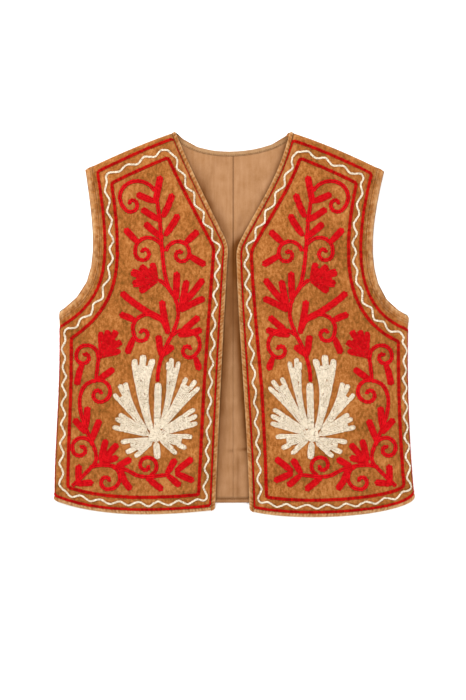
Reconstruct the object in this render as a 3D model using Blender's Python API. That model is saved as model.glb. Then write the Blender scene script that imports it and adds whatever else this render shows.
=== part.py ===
"""Embroidered velvet waistcoat, laid flat with its face up and its two fronts a little apart.

Metres, +Z up. +Y points to the neck and +X to the wearer's left. The origin lies under the
middle of the garment, on the surface that its back rests on. A front is drawn at +X, with its
centre opening on the inner side, and mirrored for the wearer's right.
"""

import math

import bmesh
import bpy
import numpy as np

# Layers, from the surface upwards
SEAM_GAP = 0.0003
BACK_THICKNESS = 0.0015
LINING_THICKNESS = 0.0010
FRONT_THICKNESS = 0.0022
INSIDE_LEVEL = BACK_THICKNESS + SEAM_GAP
LINING_TOP = INSIDE_LEVEL + LINING_THICKNESS

# Face of a front: a low crown that rolls down to its sewn edges and sinks to its free edges
CROWN = 0.0081
ROLL_REACH = 0.0070
ROLL_PACKING = 0.0090
SEWN_EDGES = ("side", "shoulder")
# free edge: (height of the face there, width of the strip that sinks to it)
FREE_EDGES = {
    "opening": (0.0059, 0.030),
    "armhole": (0.0055, 0.026),
    "hem": (0.0057, 0.026),
}
OVERHANG_CLEARANCE = 0.0030
OVERHANG_REACH = 0.0130
OVERHANG_FALL = 0.0023

# Widths of the bands that finish the free edges, and seam allowance of the lining
ARMHOLE_BAND = 0.0115
FRONT_BINDING = 0.0062
HEM_BINDING = 0.0062
NECK_FACING = 0.0065
HEM_FACING = 0.0062
LINING_INSET = 0.0075
BACK_SHOWS_AT_ARMHOLE = 0.0010

PANEL_INSETS = {
    "opening": FRONT_BINDING + SEAM_GAP,
    "hem": HEM_BINDING + SEAM_GAP,
    "armhole": ARMHOLE_BAND + SEAM_GAP,
    "side": 0.0,
    "shoulder": 0.0,
}

# Outline of each front as it lies, drawn at +X: start, two handles and end of each edge.
# "front", "neck", "side" and "armhole" run upward, "hem" and "shoulder" away from the centre.
OUTLINES = {
    "right": {
        "front": ((0.0266, -0.2604), (0.0196, -0.1043), (0.0157, -0.0128), (0.0077, 0.1113)),
        "neck": ((0.0077, 0.1113), (0.0332, 0.1635), (0.0610, 0.2175), (0.0819, 0.2702)),
        "side": ((0.2520, -0.2464), (0.2524, -0.1559), (0.2429, -0.1107), (0.2450, 0.0175)),
        "armhole": ((0.2450, 0.0175), (0.1897, 0.0516), (0.1897, 0.0996), (0.2079, 0.2177)),
        "hem": ((0.0266, -0.2604), (0.1035, -0.2688), (0.1907, -0.2718), (0.2520, -0.2464)),
        "shoulder": ((0.0819, 0.2702), (0.1240, 0.2560), (0.1660, 0.2380), (0.2079, 0.2177)),
    },
    "left": {
        "front": ((0.0217, -0.2618), (0.0183, -0.1160), (0.0054, -0.0112), (0.0032, 0.1064)),
        "neck": ((0.0032, 0.1064), (0.0341, 0.1700), (0.0610, 0.1990), (0.0784, 0.2702)),
        "side": ((0.2534, -0.2443), (0.2452, -0.1706), (0.2413, -0.0453), (0.2450, 0.0119)),
        "armhole": ((0.2450, 0.0119), (0.1688, 0.0409), (0.1967, 0.1606), (0.2100, 0.2156)),
        "hem": ((0.0217, -0.2618), (0.0900, -0.2790), (0.2330, -0.2690), (0.2534, -0.2443)),
        "shoulder": ((0.0784, 0.2702), (0.1298, 0.2540), (0.1729, 0.2340), (0.2100, 0.2156)),
    },
}
BACK_NECKLINE = ((-0.0798, 0.2695), (-0.0494, 0.2256), (0.0642, 0.2434), (0.0756, 0.2690))
BACK_HEM = ((-0.2520, -0.2464), (-0.1000, -0.2518), (0.1000, -0.2512), (0.2534, -0.2443))
CENTRE_SEAM_X = -0.0010
BREAK_ROUNDING = 0.022

# Soft ridges (+) and troughs (-): centre x, y, length, half width, direction in degrees, height
FRONT_FOLDS = {
    "right": (
        (0.212, -0.060, 0.150, 0.015, 84, -0.0005),
        (0.100, 0.010, 0.110, 0.017, 71, 0.0004),
        (0.168, 0.085, 0.110, 0.016, 112, -0.0004),
        (0.092, 0.150, 0.110, 0.015, 62, 0.0004),
        (0.160, 0.180, 0.080, 0.013, 30, -0.0003),
        (0.200, -0.205, 0.090, 0.014, 20, 0.0004),
    ),
    "left": (
        (0.216, -0.100, 0.130, 0.014, 97, -0.0005),
        (0.070, 0.020, 0.120, 0.016, 80, -0.0004),
        (0.176, 0.060, 0.100, 0.015, 118, 0.0004),
        (0.110, 0.165, 0.120, 0.016, 70, -0.0004),
        (0.128, 0.085, 0.090, 0.014, 50, 0.0003),
        (0.060, -0.215, 0.080, 0.013, -14, 0.0004),
    ),
}
LINING_FOLDS = (
    (0.0056, -0.205, 0.080, 0.0070, 90, 0.0005),
    (-0.0420, 0.215, 0.070, 0.0090, 68, 0.0004),
    (0.0330, 0.200, 0.090, 0.0100, 104, 0.0004),
    (-0.0160, 0.130, 0.110, 0.0080, 84, 0.0003),
)

# Raised embroidery
RELIEF_GAP = 0.0003
BORDER_WIDTH = 0.0038
BORDER_HEIGHT = 0.0008
BORDER_INSETS = {"opening": 0.0245, "side": 0.0155, "armhole": 0.0335, "hem": 0.0240, "shoulder": 0.0270}
PALMETTE_HEIGHT = 0.0012
PALMETTE_CENTRE = (0.1104, -0.1522)
# Petals: direction in degrees from +Y towards the side edge, reach of the middle lobe, and
# degrees between its three lobes (0 for a petal of one lobe)
PALMETTE_PETALS = (
    (-3, 0.070, 0.0),
    (9, 0.109, 8.0),
    (36, 0.087, 8.0),
    (71, 0.062, 8.0),
    (119, 0.048, 18.0),
    (-174, 0.035, 0.0),
    (-113, 0.048, 18.0),
    (-66, 0.062, 9.0),
    (-36, 0.092, 7.5),
    (-13, 0.108, 5.5),
)
LOBE_HALF_WIDTH = 0.0042
LOBE_SHARE_OF_GAP = 0.42
SIDE_LOBE_REACH = 0.96
LOBE_SHOULDER_REACH = 0.97
NOTCH_REACH = 0.84
PETAL_GAP_REACH = 0.30

# Mesh density
CURVE_STEPS = 48
SLOPE_STEP = 0.0003
ROLL_STEPS = 4
BACK_EDGE_STEPS = 22
FRONT_COLUMNS = (4, 8, 3)
FRONT_ROWS_BELOW = (4, 10)
FRONT_ROWS_ABOVE = (4, 6, 7)
LINING_COLUMNS = (12, 4)
LINING_ROWS = (8, 8)
FACING_STATIONS = 22
BORDER_STATIONS = 18

# Section of a band from its seam to its edge: place across, lift of the face, lift of the underside
BAND_SECTION = (
    (0.00, 0.0001, 0.0000),
    (0.20, 0.0006, 0.0000),
    (0.80, 0.0006, 0.0001),
    (1.00, -0.0005, 0.0008),
)

# finish: (base colour, roughness)
FINISHES = {
    "velvet": ((0.50, 0.225, 0.065), 0.85),
    "band": ((0.54, 0.250, 0.080), 0.85),
    "lining": ((0.50, 0.260, 0.115), 0.70),
    "facing": ((0.58, 0.360, 0.190), 0.75),
    "red_thread": ((0.68, 0.003, 0.006), 0.60),
    "cream_thread": ((0.80, 0.660, 0.480), 0.65),
}


# ---- Paths: arrays of points (x, y) ----


def bezier(corners, steps=CURVE_STEPS):
    """Points along a cubic curve, from its start, two handles and end."""
    start, first, second, end = np.array(corners)
    t = np.linspace(0, 1, steps + 1)[:, None]
    return (1 - t) ** 3 * start + 3 * (1 - t) ** 2 * t * first + 3 * (1 - t) * t**2 * second + t**3 * end


def lengths(path):
    """Distance along the path to each of its points."""
    return np.concatenate([[0], np.cumsum(np.hypot(*np.diff(path, axis=0).T))])


def resampled(path, fractions):
    """Points at these fractions of the path's length."""
    along = lengths(path)
    wanted = np.asarray(fractions) * along[-1]
    return np.stack([np.interp(wanted, along, path[:, axis]) for axis in (0, 1)], axis=1)


def joined(first, second):
    return np.concatenate([first, second[1:]])


def flipped(path):
    """The path mirrored to the other side, still running the same way across."""
    return path[::-1] * (-1, 1)


def extended(path, reach=0.04):
    """The path with a straight run added at both ends."""
    start, end = path[0] - path[1], path[-1] - path[-2]
    before = path[0] + start / np.hypot(*start) * reach
    after = path[-1] + end / np.hypot(*end) * reach
    return np.concatenate([[before], path, [after]])


def rounded(path, reach):
    """The path with its corners rounded over this length, by a moving average along it."""
    even = resampled(extended(path), np.linspace(0, 1, 5 * CURVE_STEPS))
    window = int(reach / lengths(even)[1])
    kernel = np.ones(window) / window
    return np.stack([np.convolve(even[:, axis], kernel, "valid") for axis in (0, 1)], axis=1)


def moved(path, distance):
    """The path shifted sideways, to the left of its travel where the distance is positive."""
    tangent = np.gradient(path, axis=0)
    tangent /= np.hypot(*tangent.T)[:, None]
    return path + distance * np.stack([-tangent[:, 1], tangent[:, 0]], axis=1)


def crossing(path, cutter):
    """Distance along the path at which the cutter crosses it."""
    start, step = path[:-1, None], np.diff(path, axis=0)[:, None]
    offset, reach = cutter[None, :-1] - start, np.diff(cutter, axis=0)[None]
    turn = step[..., 0] * reach[..., 1] - step[..., 1] * reach[..., 0]
    turn = np.where(np.abs(turn) < 1e-15, np.nan, turn)
    on_path = (offset[..., 0] * reach[..., 1] - offset[..., 1] * reach[..., 0]) / turn
    on_cutter = (offset[..., 0] * step[..., 1] - offset[..., 1] * step[..., 0]) / turn
    hits = (on_path >= 0) & (on_path <= 1) & (on_cutter >= 0) & (on_cutter <= 1)
    index, other = np.argwhere(hits)[0]
    along = lengths(path)
    return along[index] + on_path[index, other] * (along[index + 1] - along[index])


def between(path, first, second):
    """The stretch of the path from one cutter to the other."""
    along = lengths(path)
    low, high = crossing(path, first), crossing(path, second)
    inside = (along > low + 1e-5) & (along < high - 1e-5)
    ends = resampled(path, np.array([low, high]) / along[-1])
    return np.concatenate([ends[:1], path[inside], ends[1:]])


def cut(lines, corners):
    """Each line's stretch between its two neighbours."""
    return {name: between(lines[name], lines[first], lines[last]) for name, (first, last) in corners.items()}


def side_of(points, path):
    """Distance of each point from the path, positive to the left of its travel."""
    start, step = path[:-1], np.diff(path, axis=0)
    offset = points[..., None, :] - start
    along = np.clip((offset * step).sum(-1) / (step**2).sum(-1), 0, 1)
    away = np.linalg.norm(offset - along[..., None] * step, axis=-1)
    nearest = away.argmin(-1)[..., None]
    turn = step[:, 0] * offset[..., 1] - step[:, 1] * offset[..., 0]
    away, turn = (np.take_along_axis(values, nearest, -1)[..., 0] for values in (away, turn))
    return np.copysign(away, turn)


def eased(values):
    """A smooth step from 0 to 1."""
    t = np.clip(values, 0, 1)
    return t * t * (3 - 2 * t)


def fractions(stops, counts):
    """Fractions from the first stop to the last, with so many even steps between each pair."""
    parts = [np.linspace(low, high, count + 1)[1:] for low, high, count in zip(stops, stops[1:], counts)]
    return np.concatenate([[stops[0]], *parts])


def roll_steps(length):
    """Fractions of a length at which a rolled edge is stepped, from the edge inwards."""
    return ROLL_PACKING / length * (1 - np.cos(np.linspace(0, math.pi / 2, ROLL_STEPS + 1)))


def stepped(first, stops, counts, last):
    """Rolled steps at the start, even steps between the stops and rolled steps at the end."""
    return np.concatenate([first, fractions(stops, counts)[1:-1], last])


def folds(points, table):
    """Height of the soft ridges and troughs at each point."""
    total = np.zeros(points.shape[:-1])
    for x, y, length, half_width, degrees, height in table:
        cos, sin = math.cos(math.radians(degrees)), math.sin(math.radians(degrees))
        offset = points - (x, y)
        along = offset @ (cos, sin) / (length / 2)
        across = offset @ (-sin, cos) / half_width
        total += height * np.exp(-(across**2)) * eased(1.5 * (1 - along**2))
    return total


# ---- Surfaces: grids of points, with rows up the garment and columns away from its centre ----


def patch(bottom, top, inner, outer, across, upward):
    """Coons patch between four paths."""
    u = np.asarray(across)[None, :, None]
    v = np.asarray(upward)[:, None, None]
    low, high = resampled(bottom, across)[None], resampled(top, across)[None]
    left, right = resampled(inner, upward)[:, None], resampled(outer, upward)[:, None]
    low_corners = (1 - u) * low[:, :1] + u * low[:, -1:]
    high_corners = (1 - u) * high[:, :1] + u * high[:, -1:]
    return (1 - u) * left + u * right + (1 - v) * (low - low_corners) + v * (high - high_corners)


def level(points, height):
    """Points at this height above the surface."""
    return np.concatenate([points, np.broadcast_to(height, points.shape[:-1])[..., None]], axis=-1)


class Front:
    """Outline of one front at +X, and the form of its face."""

    corners = {
        "hem": ("opening", "side"),
        "side": ("hem", "armhole"),
        "armhole": ("side", "shoulder"),
        "shoulder": ("opening", "armhole"),
        "opening": ("hem", "shoulder"),
    }

    def __init__(self, side):
        self.side = side
        self.mirror = (1, 1, 1) if side == "left" else (-1, 1, 1)
        self.edges = {name: bezier(corners) for name, corners in OUTLINES[side].items()}
        self.edges["opening"] = rounded(joined(self.edges["front"], self.edges["neck"]), BREAK_ROUNDING)
        self.panel = self.outline(PANEL_INSETS)
        self.panel["outer"] = joined(self.panel["side"], self.panel["armhole"])
        self.across, self.upward, self.underarm = self.stations()

    def stations(self):
        """Fractions across and up the panel, closest at its rolled edges and bends, and its underarm."""
        width, height = lengths(self.panel["hem"])[-1], lengths(self.panel["outer"])[-1]
        strips = (FREE_EDGES["opening"][1] / width, 1 - FREE_EDGES["armhole"][1] / width)
        stops = (0, *strips, 1 - ROLL_PACKING / width)
        across = stepped([0], stops, FRONT_COLUMNS, 1 - roll_steps(width)[::-1])
        underarm = lengths(self.panel["side"])[-1] / height
        stops = (0, FREE_EDGES["hem"][1] / height, underarm)
        below = stepped([0], stops, FRONT_ROWS_BELOW, underarm + roll_steps(height))
        opening, corner = self.panel["opening"], self.edges["front"][-1]
        middle = lengths(opening)[np.hypot(*(opening - corner).T).argmin()]
        span = np.array([middle - BREAK_ROUNDING, middle + BREAK_ROUNDING]) / lengths(opening)[-1]
        stops = (below[-1], *span, 1 - ROLL_PACKING / height)
        upward = stepped(below, stops, FRONT_ROWS_ABOVE, 1 - roll_steps(height)[::-1])
        return across, upward, underarm

    def line(self, name, inset=0.0):
        """An edge moved into the front, with its ends run on ready to be cut."""
        return extended(moved(self.edges[name], inset * self.inwards(name)))

    @staticmethod
    def inwards(name):
        """1 for an edge with the front on its left, -1 for one with the front on its right."""
        return -1 if name in ("opening", "shoulder") else 1

    def depth(self, points, name):
        """How far each point lies inside an edge."""
        return self.inwards(name) * side_of(points, self.line(name))

    def outline(self, insets):
        """The five edges, each moved in by its inset and cut by its two neighbours."""
        return cut({name: self.line(name, inset) for name, inset in insets.items()}, self.corners)

    def height(self, points):
        """Height of the face above each of these places."""
        drops = []
        for name, (height, reach) in FREE_EDGES.items():
            drops.append((CROWN - height) * (1 - eased(self.depth(points, name) / reach)))
        drop = (np.array(drops) ** 4).sum(0) ** 0.25
        back_hem = np.interp(points[..., 0] * self.mirror[0], *bezier(BACK_HEM).T)
        past_back_hem = back_hem - OVERHANG_CLEARANCE - points[..., 1]
        drop = drop + OVERHANG_FALL * eased(past_back_hem / OVERHANG_REACH)
        flat = CROWN - drop + folds(points, FRONT_FOLDS[self.side])
        roll = np.ones(points.shape[:-1])
        for name in SEWN_EDGES:
            near = 1 - np.clip(self.depth(points, name) / ROLL_REACH, 0, 1)
            roll *= np.sqrt(1 - near**2)
        return INSIDE_LEVEL + (flat - INSIDE_LEVEL) * roll

    def layer(self, points, lifts=0.0):
        """Points at these distances from the face along its normals, kept above the back."""
        slopes = [
            (self.height(points + step) - self.height(points - step)) / (2 * SLOPE_STEP)
            for step in np.eye(2) * SLOPE_STEP
        ]
        normal = np.stack([-slopes[0], -slopes[1], np.ones_like(slopes[0])], axis=-1)
        normal /= np.linalg.norm(normal, axis=-1, keepdims=True)
        lifted = level(points, self.height(points)) + normal * np.asarray(lifts)[..., None]
        lifted[..., 2] = np.maximum(lifted[..., 2], INSIDE_LEVEL)
        return lifted


# ---- Objects ----


def material(name, finish):
    colour, roughness = FINISHES[finish]
    made = bpy.data.materials.new(name)
    made.use_nodes = True
    shader = made.node_tree.nodes["Principled BSDF"]
    shader.inputs["Base Color"].default_value = (*colour, 1)
    shader.inputs["Roughness"].default_value = roughness
    shader.inputs["Metallic"].default_value = 0.0
    return made


def solid(name, points, faces, finish, mirror=(1, 1, 1)):
    """A closed mesh object with its faces turned outwards."""
    mesh = bpy.data.meshes.new(name)
    mesh.from_pydata((points * mirror).tolist(), [], faces)
    shape = bmesh.new()
    shape.from_mesh(mesh)
    bmesh.ops.recalc_face_normals(shape, faces=shape.faces)
    shape.to_mesh(mesh)
    shape.free()
    mesh.shade_smooth()
    mesh.set_sharp_from_angle(angle=math.radians(50))
    mesh.materials.append(material(name, finish))
    made = bpy.data.objects.new(name, mesh)
    bpy.context.scene.collection.objects.link(made)
    return made


def rim_faces(rim, lower):
    """Faces that join a closed rim of the upper layer to the points under it."""
    pairs = zip(rim, rim[1:] + rim[:1])
    return [(here, here + lower, there + lower, there) for here, there in pairs]


def wall(name, face, underside, finish, mirror=(1, 1, 1)):
    """Closed wall between two grids of the same size."""
    rows, columns = face.shape[:2]
    index = np.arange(rows * columns).reshape(rows, columns)
    quads = np.stack([index[:-1, :-1], index[:-1, 1:], index[1:, 1:], index[1:, :-1]], axis=-1)
    quads = quads.reshape(-1, 4)
    rim = [*index[0, :-1], *index[:-1, -1], *index[-1, :0:-1], *index[:0:-1, 0]]
    faces = quads.tolist() + (quads[:, ::-1] + index.size).tolist()
    faces += rim_faces([int(point) for point in rim], index.size)
    points = np.concatenate([face.reshape(-1, 3), underside.reshape(-1, 3)])
    return solid(name, points, faces, finish, mirror)


def slab(name, outline, low, high, finish, mirror=(1, 1, 1)):
    """A flat piece between two levels, from its closed outline."""
    count = len(outline)
    rim = list(range(count))
    faces = [rim, [point + count for point in reversed(rim)], *rim_faces(rim, count)]
    points = np.concatenate([level(outline, high), level(outline, low)])
    return solid(name, points, faces, finish, mirror)


def front_panel(front):
    """The velvet panel inside its bands, rolled down to the side and shoulder seams."""
    edges = front.panel
    places = patch(
        edges["hem"], edges["shoulder"], edges["opening"], edges["outer"], front.across, front.upward
    )
    underside = front.layer(places, -FRONT_THICKNESS)
    return wall(f"{front.side}_front", front.layer(places), underside, "velvet", front.mirror)


def band(front, name, edge, width, cutters, along):
    """A band along a free edge, from its seam with the panel to the garment's edge."""
    seam = resampled(between(front.line(edge, width), *cutters), along)
    rim = resampled(between(front.line(edge), *cutters), along)
    across, lift, thinning = np.array(BAND_SECTION).T
    share = across[None, :, None]
    places = (1 - share) * seam[:, None] + share * rim[:, None]
    face, underside = front.layer(places, lift), front.layer(places, thinning - FRONT_THICKNESS)
    return wall(f"{front.side}_{name}", face, underside, "band", front.mirror)


def front_bands(front):
    """The bands of the free edges, with a station at each row or column of the panel."""
    side, shoulder, hem = front.line("side"), front.line("shoulder"), front.line("hem")
    above = front.upward[front.upward >= front.underarm]
    along = (above - front.underarm) / (1 - front.underarm)
    band(front, "armhole_band", "armhole", ARMHOLE_BAND, (side, shoulder), along)
    whole = lengths(between(front.line("opening", FRONT_BINDING), hem, shoulder))[-1]
    from_top = (1 - front.upward) * lengths(front.panel["opening"])[-1]
    along = np.concatenate([[0], 1 - from_top / whole])
    band(front, "front_binding", "opening", FRONT_BINDING, (hem, shoulder), along)
    seam = front.line("opening", FRONT_BINDING + SEAM_GAP)
    band(front, "hem_binding", "hem", HEM_BINDING, (seam, side), front.across)


def inner_border(front):
    """The raised red line that frames the front's embroidery."""
    sides = []
    for offset in (-BORDER_WIDTH / 2, BORDER_WIDTH / 2):
        edges = front.outline({name: inset + offset for name, inset in BORDER_INSETS.items()})
        back_down = (edges["shoulder"][::-1], edges["opening"][::-1])
        ring = [edges["hem"], edges["side"], edges["armhole"], *back_down]
        steps = np.linspace(0, 1, BORDER_STATIONS)[:-1]
        sides.append(np.concatenate([resampled(edge, steps) for edge in ring]))
    outer, inner = (front.layer(side) for side in sides)
    count = len(outer)
    shoulders = [outer + (inner - outer) * share for share in (0.2, 0.8)]
    rings = [
        outer + (0, 0, RELIEF_GAP),
        shoulders[0] + (0, 0, RELIEF_GAP + BORDER_HEIGHT),
        shoulders[1] + (0, 0, RELIEF_GAP + BORDER_HEIGHT),
        inner + (0, 0, RELIEF_GAP),
    ]
    faces = []
    for ring in range(4):
        for here in range(count):
            there, after = (here + 1) % count, (ring + 1) % 4
            faces.append(
                (ring * count + here, ring * count + there, after * count + there, after * count + here)
            )
    return solid(f"{front.side}_inner_border", np.concatenate(rings), faces, "red_thread", front.mirror)


def palmette_outline():
    """Closed outline of the palmette's lobes, by direction and reach from its centre."""
    lobes = []
    for direction, reach, spread in PALMETTE_PETALS:
        if spread:
            lobes.append((direction - spread, reach * SIDE_LOBE_REACH, False))
            lobes.append((direction, reach, False))
            lobes.append((direction + spread, reach * SIDE_LOBE_REACH, True))
        else:
            lobes.append((direction, reach, True))
    lobes.sort()
    directions, reaches, _ = np.array(lobes).T
    gaps = np.diff(directions, append=directions[0] + 360)
    room = LOBE_SHARE_OF_GAP * np.minimum(gaps, np.roll(gaps, 1))
    half_widths = np.minimum(np.degrees(LOBE_HALF_WIDTH / reaches), room)
    lower = np.minimum(reaches, np.roll(reaches, -1))
    outline = []
    for (direction, reach, ends_petal), half_width, gap, shorter in zip(lobes, half_widths, gaps, lower):
        outline.append((direction - half_width, reach * LOBE_SHOULDER_REACH))
        outline.append((direction, reach))
        outline.append((direction + half_width, reach * LOBE_SHOULDER_REACH))
        outline.append((direction + gap / 2, shorter * (PETAL_GAP_REACH if ends_petal else NOTCH_REACH)))
    angles, reaches = np.array(outline).T
    angles = np.radians(angles)
    return PALMETTE_CENTRE + reaches[:, None] * np.stack([np.sin(angles), np.cos(angles)], axis=1)


def palmette(front):
    """The thick cream palmette, on the flat middle of the front."""
    low = CROWN + RELIEF_GAP
    outline = palmette_outline()
    name = f"{front.side}_palmette"
    return slab(name, outline, low, low + PALMETTE_HEIGHT, "cream_thread", front.mirror)


def back(fronts):
    """The velvet back, flat on the surface, with the fronts' side and shoulder edges."""
    halves = {}
    for side, front in fronts.items():
        armhole = front.line("armhole", -BACK_SHOWS_AT_ARMHOLE)
        lines = {"side": front.line("side"), "armhole": armhole, "shoulder": front.line("shoulder")}
        outer = joined(
            between(lines["side"], front.line("hem"), armhole),
            between(armhole, lines["side"], lines["shoulder"]),
        )
        shoulder = between(lines["shoulder"], front.line("opening"), armhole)
        halves[side] = joined(
            resampled(outer, np.linspace(0, 1, 2 * BACK_EDGE_STEPS)),
            resampled(shoulder[::-1], np.linspace(0, 1, BACK_EDGE_STEPS // 2)),
        )
    even = np.linspace(0, 1, BACK_EDGE_STEPS)[1:-1]
    outline = np.concatenate(
        [
            resampled(bezier(BACK_HEM), even),
            halves["left"],
            resampled(bezier(BACK_NECKLINE), even)[::-1],
            halves["right"][::-1] * (-1, 1),
        ]
    )
    return slab("back", outline, 0.0, BACK_THICKNESS, "velvet")


def inside_lines(front):
    """Seam lines of the lining on one side of the back, drawn at +X."""
    neckline, hem = bezier(BACK_NECKLINE), bezier(BACK_HEM)
    seam_x = CENTRE_SEAM_X * front.mirror[0] + SEAM_GAP / 2
    if front.side == "right":
        neckline, hem = flipped(neckline), flipped(hem)
    return {
        "centre": np.array([(seam_x, -0.3), (seam_x, 0.3)]),
        "neckline": extended(moved(neckline, -NECK_FACING - SEAM_GAP)),
        "hem": extended(moved(hem, HEM_FACING + SEAM_GAP)),
        "side": front.line("side", LINING_INSET),
        "armhole": front.line("armhole", LINING_INSET),
        "shoulder": front.line("shoulder", LINING_INSET),
    }


def lining_half(front):
    """One half of the back's lining, from the centre seam to the side."""
    edges = cut(
        inside_lines(front),
        {
            "centre": ("hem", "neckline"),
            "neckline": ("centre", "shoulder"),
            "shoulder": ("neckline", "armhole"),
            "hem": ("centre", "side"),
            "side": ("hem", "armhole"),
            "armhole": ("side", "shoulder"),
        },
    )
    top = joined(edges["neckline"], edges["shoulder"])
    outer = joined(edges["side"], edges["armhole"])
    across = fractions((0, lengths(edges["neckline"])[-1] / lengths(top)[-1], 1), LINING_COLUMNS)
    upward = fractions((0, lengths(edges["side"])[-1] / lengths(outer)[-1], 1), LINING_ROWS)
    places = patch(edges["hem"], top, edges["centre"], outer, across, upward)
    face = level(places, LINING_TOP + folds(places * front.mirror[:2], LINING_FOLDS))
    underside = level(places, INSIDE_LEVEL)
    return wall(f"lining_{front.side}", face, underside, "lining", front.mirror)


def facing(name, edge, width, cutters, finish):
    """A flat strip along an edge of the back's inside."""
    along = np.linspace(0, 1, FACING_STATIONS)
    rim = resampled(between(extended(edge), *cutters), along)
    seam = resampled(between(extended(moved(edge, width)), *cutters), along)
    return slab(name, np.concatenate([rim, seam[::-1]]), INSIDE_LEVEL, LINING_TOP, finish)


def facings(fronts):
    """The neck facing and the turned hem, inside the back."""
    cutters = {}
    for name in ("shoulder", "side"):
        lines = {side: front.line(name, LINING_INSET) for side, front in fronts.items()}
        cutters[name] = (lines["right"] * (-1, 1), lines["left"])
    facing("neck_facing", bezier(BACK_NECKLINE), -NECK_FACING, cutters["shoulder"], "facing")
    facing("hem_facing", bezier(BACK_HEM), HEM_FACING, cutters["side"], "lining")


def main():
    for leftover in list(bpy.data.objects):
        bpy.data.objects.remove(leftover)
    fronts = {side: Front(side) for side in OUTLINES}
    back(fronts)
    facings(fronts)
    for front in fronts.values():
        lining_half(front)
        front_panel(front)
        front_bands(front)
        inner_border(front)
        palmette(front)


main()
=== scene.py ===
"""Embroidered velvet waistcoat, laid flat: its cloth, chain stitch and sewing, with light and camera.

Metres, +Z up. +Y points to the neck and +X to the wearer's left. A front is drawn at +X, with its
centre opening on the inner side, and mirrored for the wearer's right.
"""

import math
from collections import namedtuple

import bpy
import numpy as np
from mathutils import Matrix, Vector, kdtree


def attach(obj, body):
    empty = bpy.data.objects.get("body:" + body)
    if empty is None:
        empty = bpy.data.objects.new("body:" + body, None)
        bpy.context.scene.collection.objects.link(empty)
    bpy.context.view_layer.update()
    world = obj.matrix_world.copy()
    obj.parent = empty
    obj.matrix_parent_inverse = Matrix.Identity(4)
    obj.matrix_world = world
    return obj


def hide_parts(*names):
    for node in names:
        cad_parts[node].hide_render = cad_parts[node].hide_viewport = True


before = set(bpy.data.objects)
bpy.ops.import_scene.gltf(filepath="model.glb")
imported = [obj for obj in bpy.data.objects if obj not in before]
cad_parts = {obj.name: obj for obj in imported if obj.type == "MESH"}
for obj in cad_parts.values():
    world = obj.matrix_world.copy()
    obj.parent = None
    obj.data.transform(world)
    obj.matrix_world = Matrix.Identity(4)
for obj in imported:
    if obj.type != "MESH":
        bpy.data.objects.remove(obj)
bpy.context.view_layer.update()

MM = 0.001

# Layers, from the surface upwards
SEAM_GAP = 0.0003
BACK_THICKNESS = 0.0015
LINING_THICKNESS = 0.0010
FRONT_THICKNESS = 0.0022
INSIDE_LEVEL = BACK_THICKNESS + SEAM_GAP
LINING_TOP = INSIDE_LEVEL + LINING_THICKNESS

# Face of a front: a low crown that rolls down to its sewn edges and sinks to its free edges
CROWN = 0.0081
ROLL_REACH = 0.0070
ROLL_PACKING = 0.0090
SEWN_EDGES = ("side", "shoulder")
# free edge: (height of the face there, width of the strip that sinks to it)
FREE_EDGES = {
    "opening": (0.0059, 0.030),
    "armhole": (0.0055, 0.026),
    "hem": (0.0057, 0.026),
}
OVERHANG_CLEARANCE = 0.0030
OVERHANG_REACH = 0.0130
OVERHANG_FALL = 0.0023
# How sharply the falls to two edges give way to each other at a corner
DROP_BLEND = 4

# Widths of the bands that finish the free edges, and seam allowance of the lining
ARMHOLE_BAND = 0.0115
FRONT_BINDING = 0.0062
HEM_BINDING = 0.0062
NECK_FACING = 0.0065
HEM_FACING = 0.0062
LINING_INSET = 0.0075
BACK_SHOWS_AT_ARMHOLE = 0.0010

PANEL_INSETS = {
    "opening": FRONT_BINDING + SEAM_GAP,
    "hem": HEM_BINDING + SEAM_GAP,
    "armhole": ARMHOLE_BAND + SEAM_GAP,
    "side": 0.0,
    "shoulder": 0.0,
}

# Outline of each front as it lies, drawn at +X: start, two handles and end of each edge.
# "front", "neck", "side" and "armhole" run upward, "hem" and "shoulder" away from the centre.
OUTLINES = {
    "right": {
        "front": ((0.0266, -0.2604), (0.0196, -0.1043), (0.0157, -0.0128), (0.0077, 0.1113)),
        "neck": ((0.0077, 0.1113), (0.0332, 0.1635), (0.0610, 0.2175), (0.0819, 0.2702)),
        "side": ((0.2520, -0.2464), (0.2524, -0.1559), (0.2429, -0.1107), (0.2450, 0.0175)),
        "armhole": ((0.2450, 0.0175), (0.1897, 0.0516), (0.1897, 0.0996), (0.2079, 0.2177)),
        "hem": ((0.0266, -0.2604), (0.1035, -0.2688), (0.1907, -0.2718), (0.2520, -0.2464)),
        "shoulder": ((0.0819, 0.2702), (0.1240, 0.2560), (0.1660, 0.2380), (0.2079, 0.2177)),
    },
    "left": {
        "front": ((0.0217, -0.2618), (0.0183, -0.1160), (0.0054, -0.0112), (0.0032, 0.1064)),
        "neck": ((0.0032, 0.1064), (0.0341, 0.1700), (0.0610, 0.1990), (0.0784, 0.2702)),
        "side": ((0.2534, -0.2443), (0.2452, -0.1706), (0.2413, -0.0453), (0.2450, 0.0119)),
        "armhole": ((0.2450, 0.0119), (0.1688, 0.0409), (0.1967, 0.1606), (0.2100, 0.2156)),
        "hem": ((0.0217, -0.2618), (0.0900, -0.2790), (0.2330, -0.2690), (0.2534, -0.2443)),
        "shoulder": ((0.0784, 0.2702), (0.1298, 0.2540), (0.1729, 0.2340), (0.2100, 0.2156)),
    },
}
BACK_NECKLINE = ((-0.0798, 0.2695), (-0.0494, 0.2256), (0.0642, 0.2434), (0.0756, 0.2690))
BACK_HEM = ((-0.2520, -0.2464), (-0.1000, -0.2518), (0.1000, -0.2512), (0.2534, -0.2443))
CENTRE_SEAM_X = -0.0010
BREAK_ROUNDING = 0.022

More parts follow.
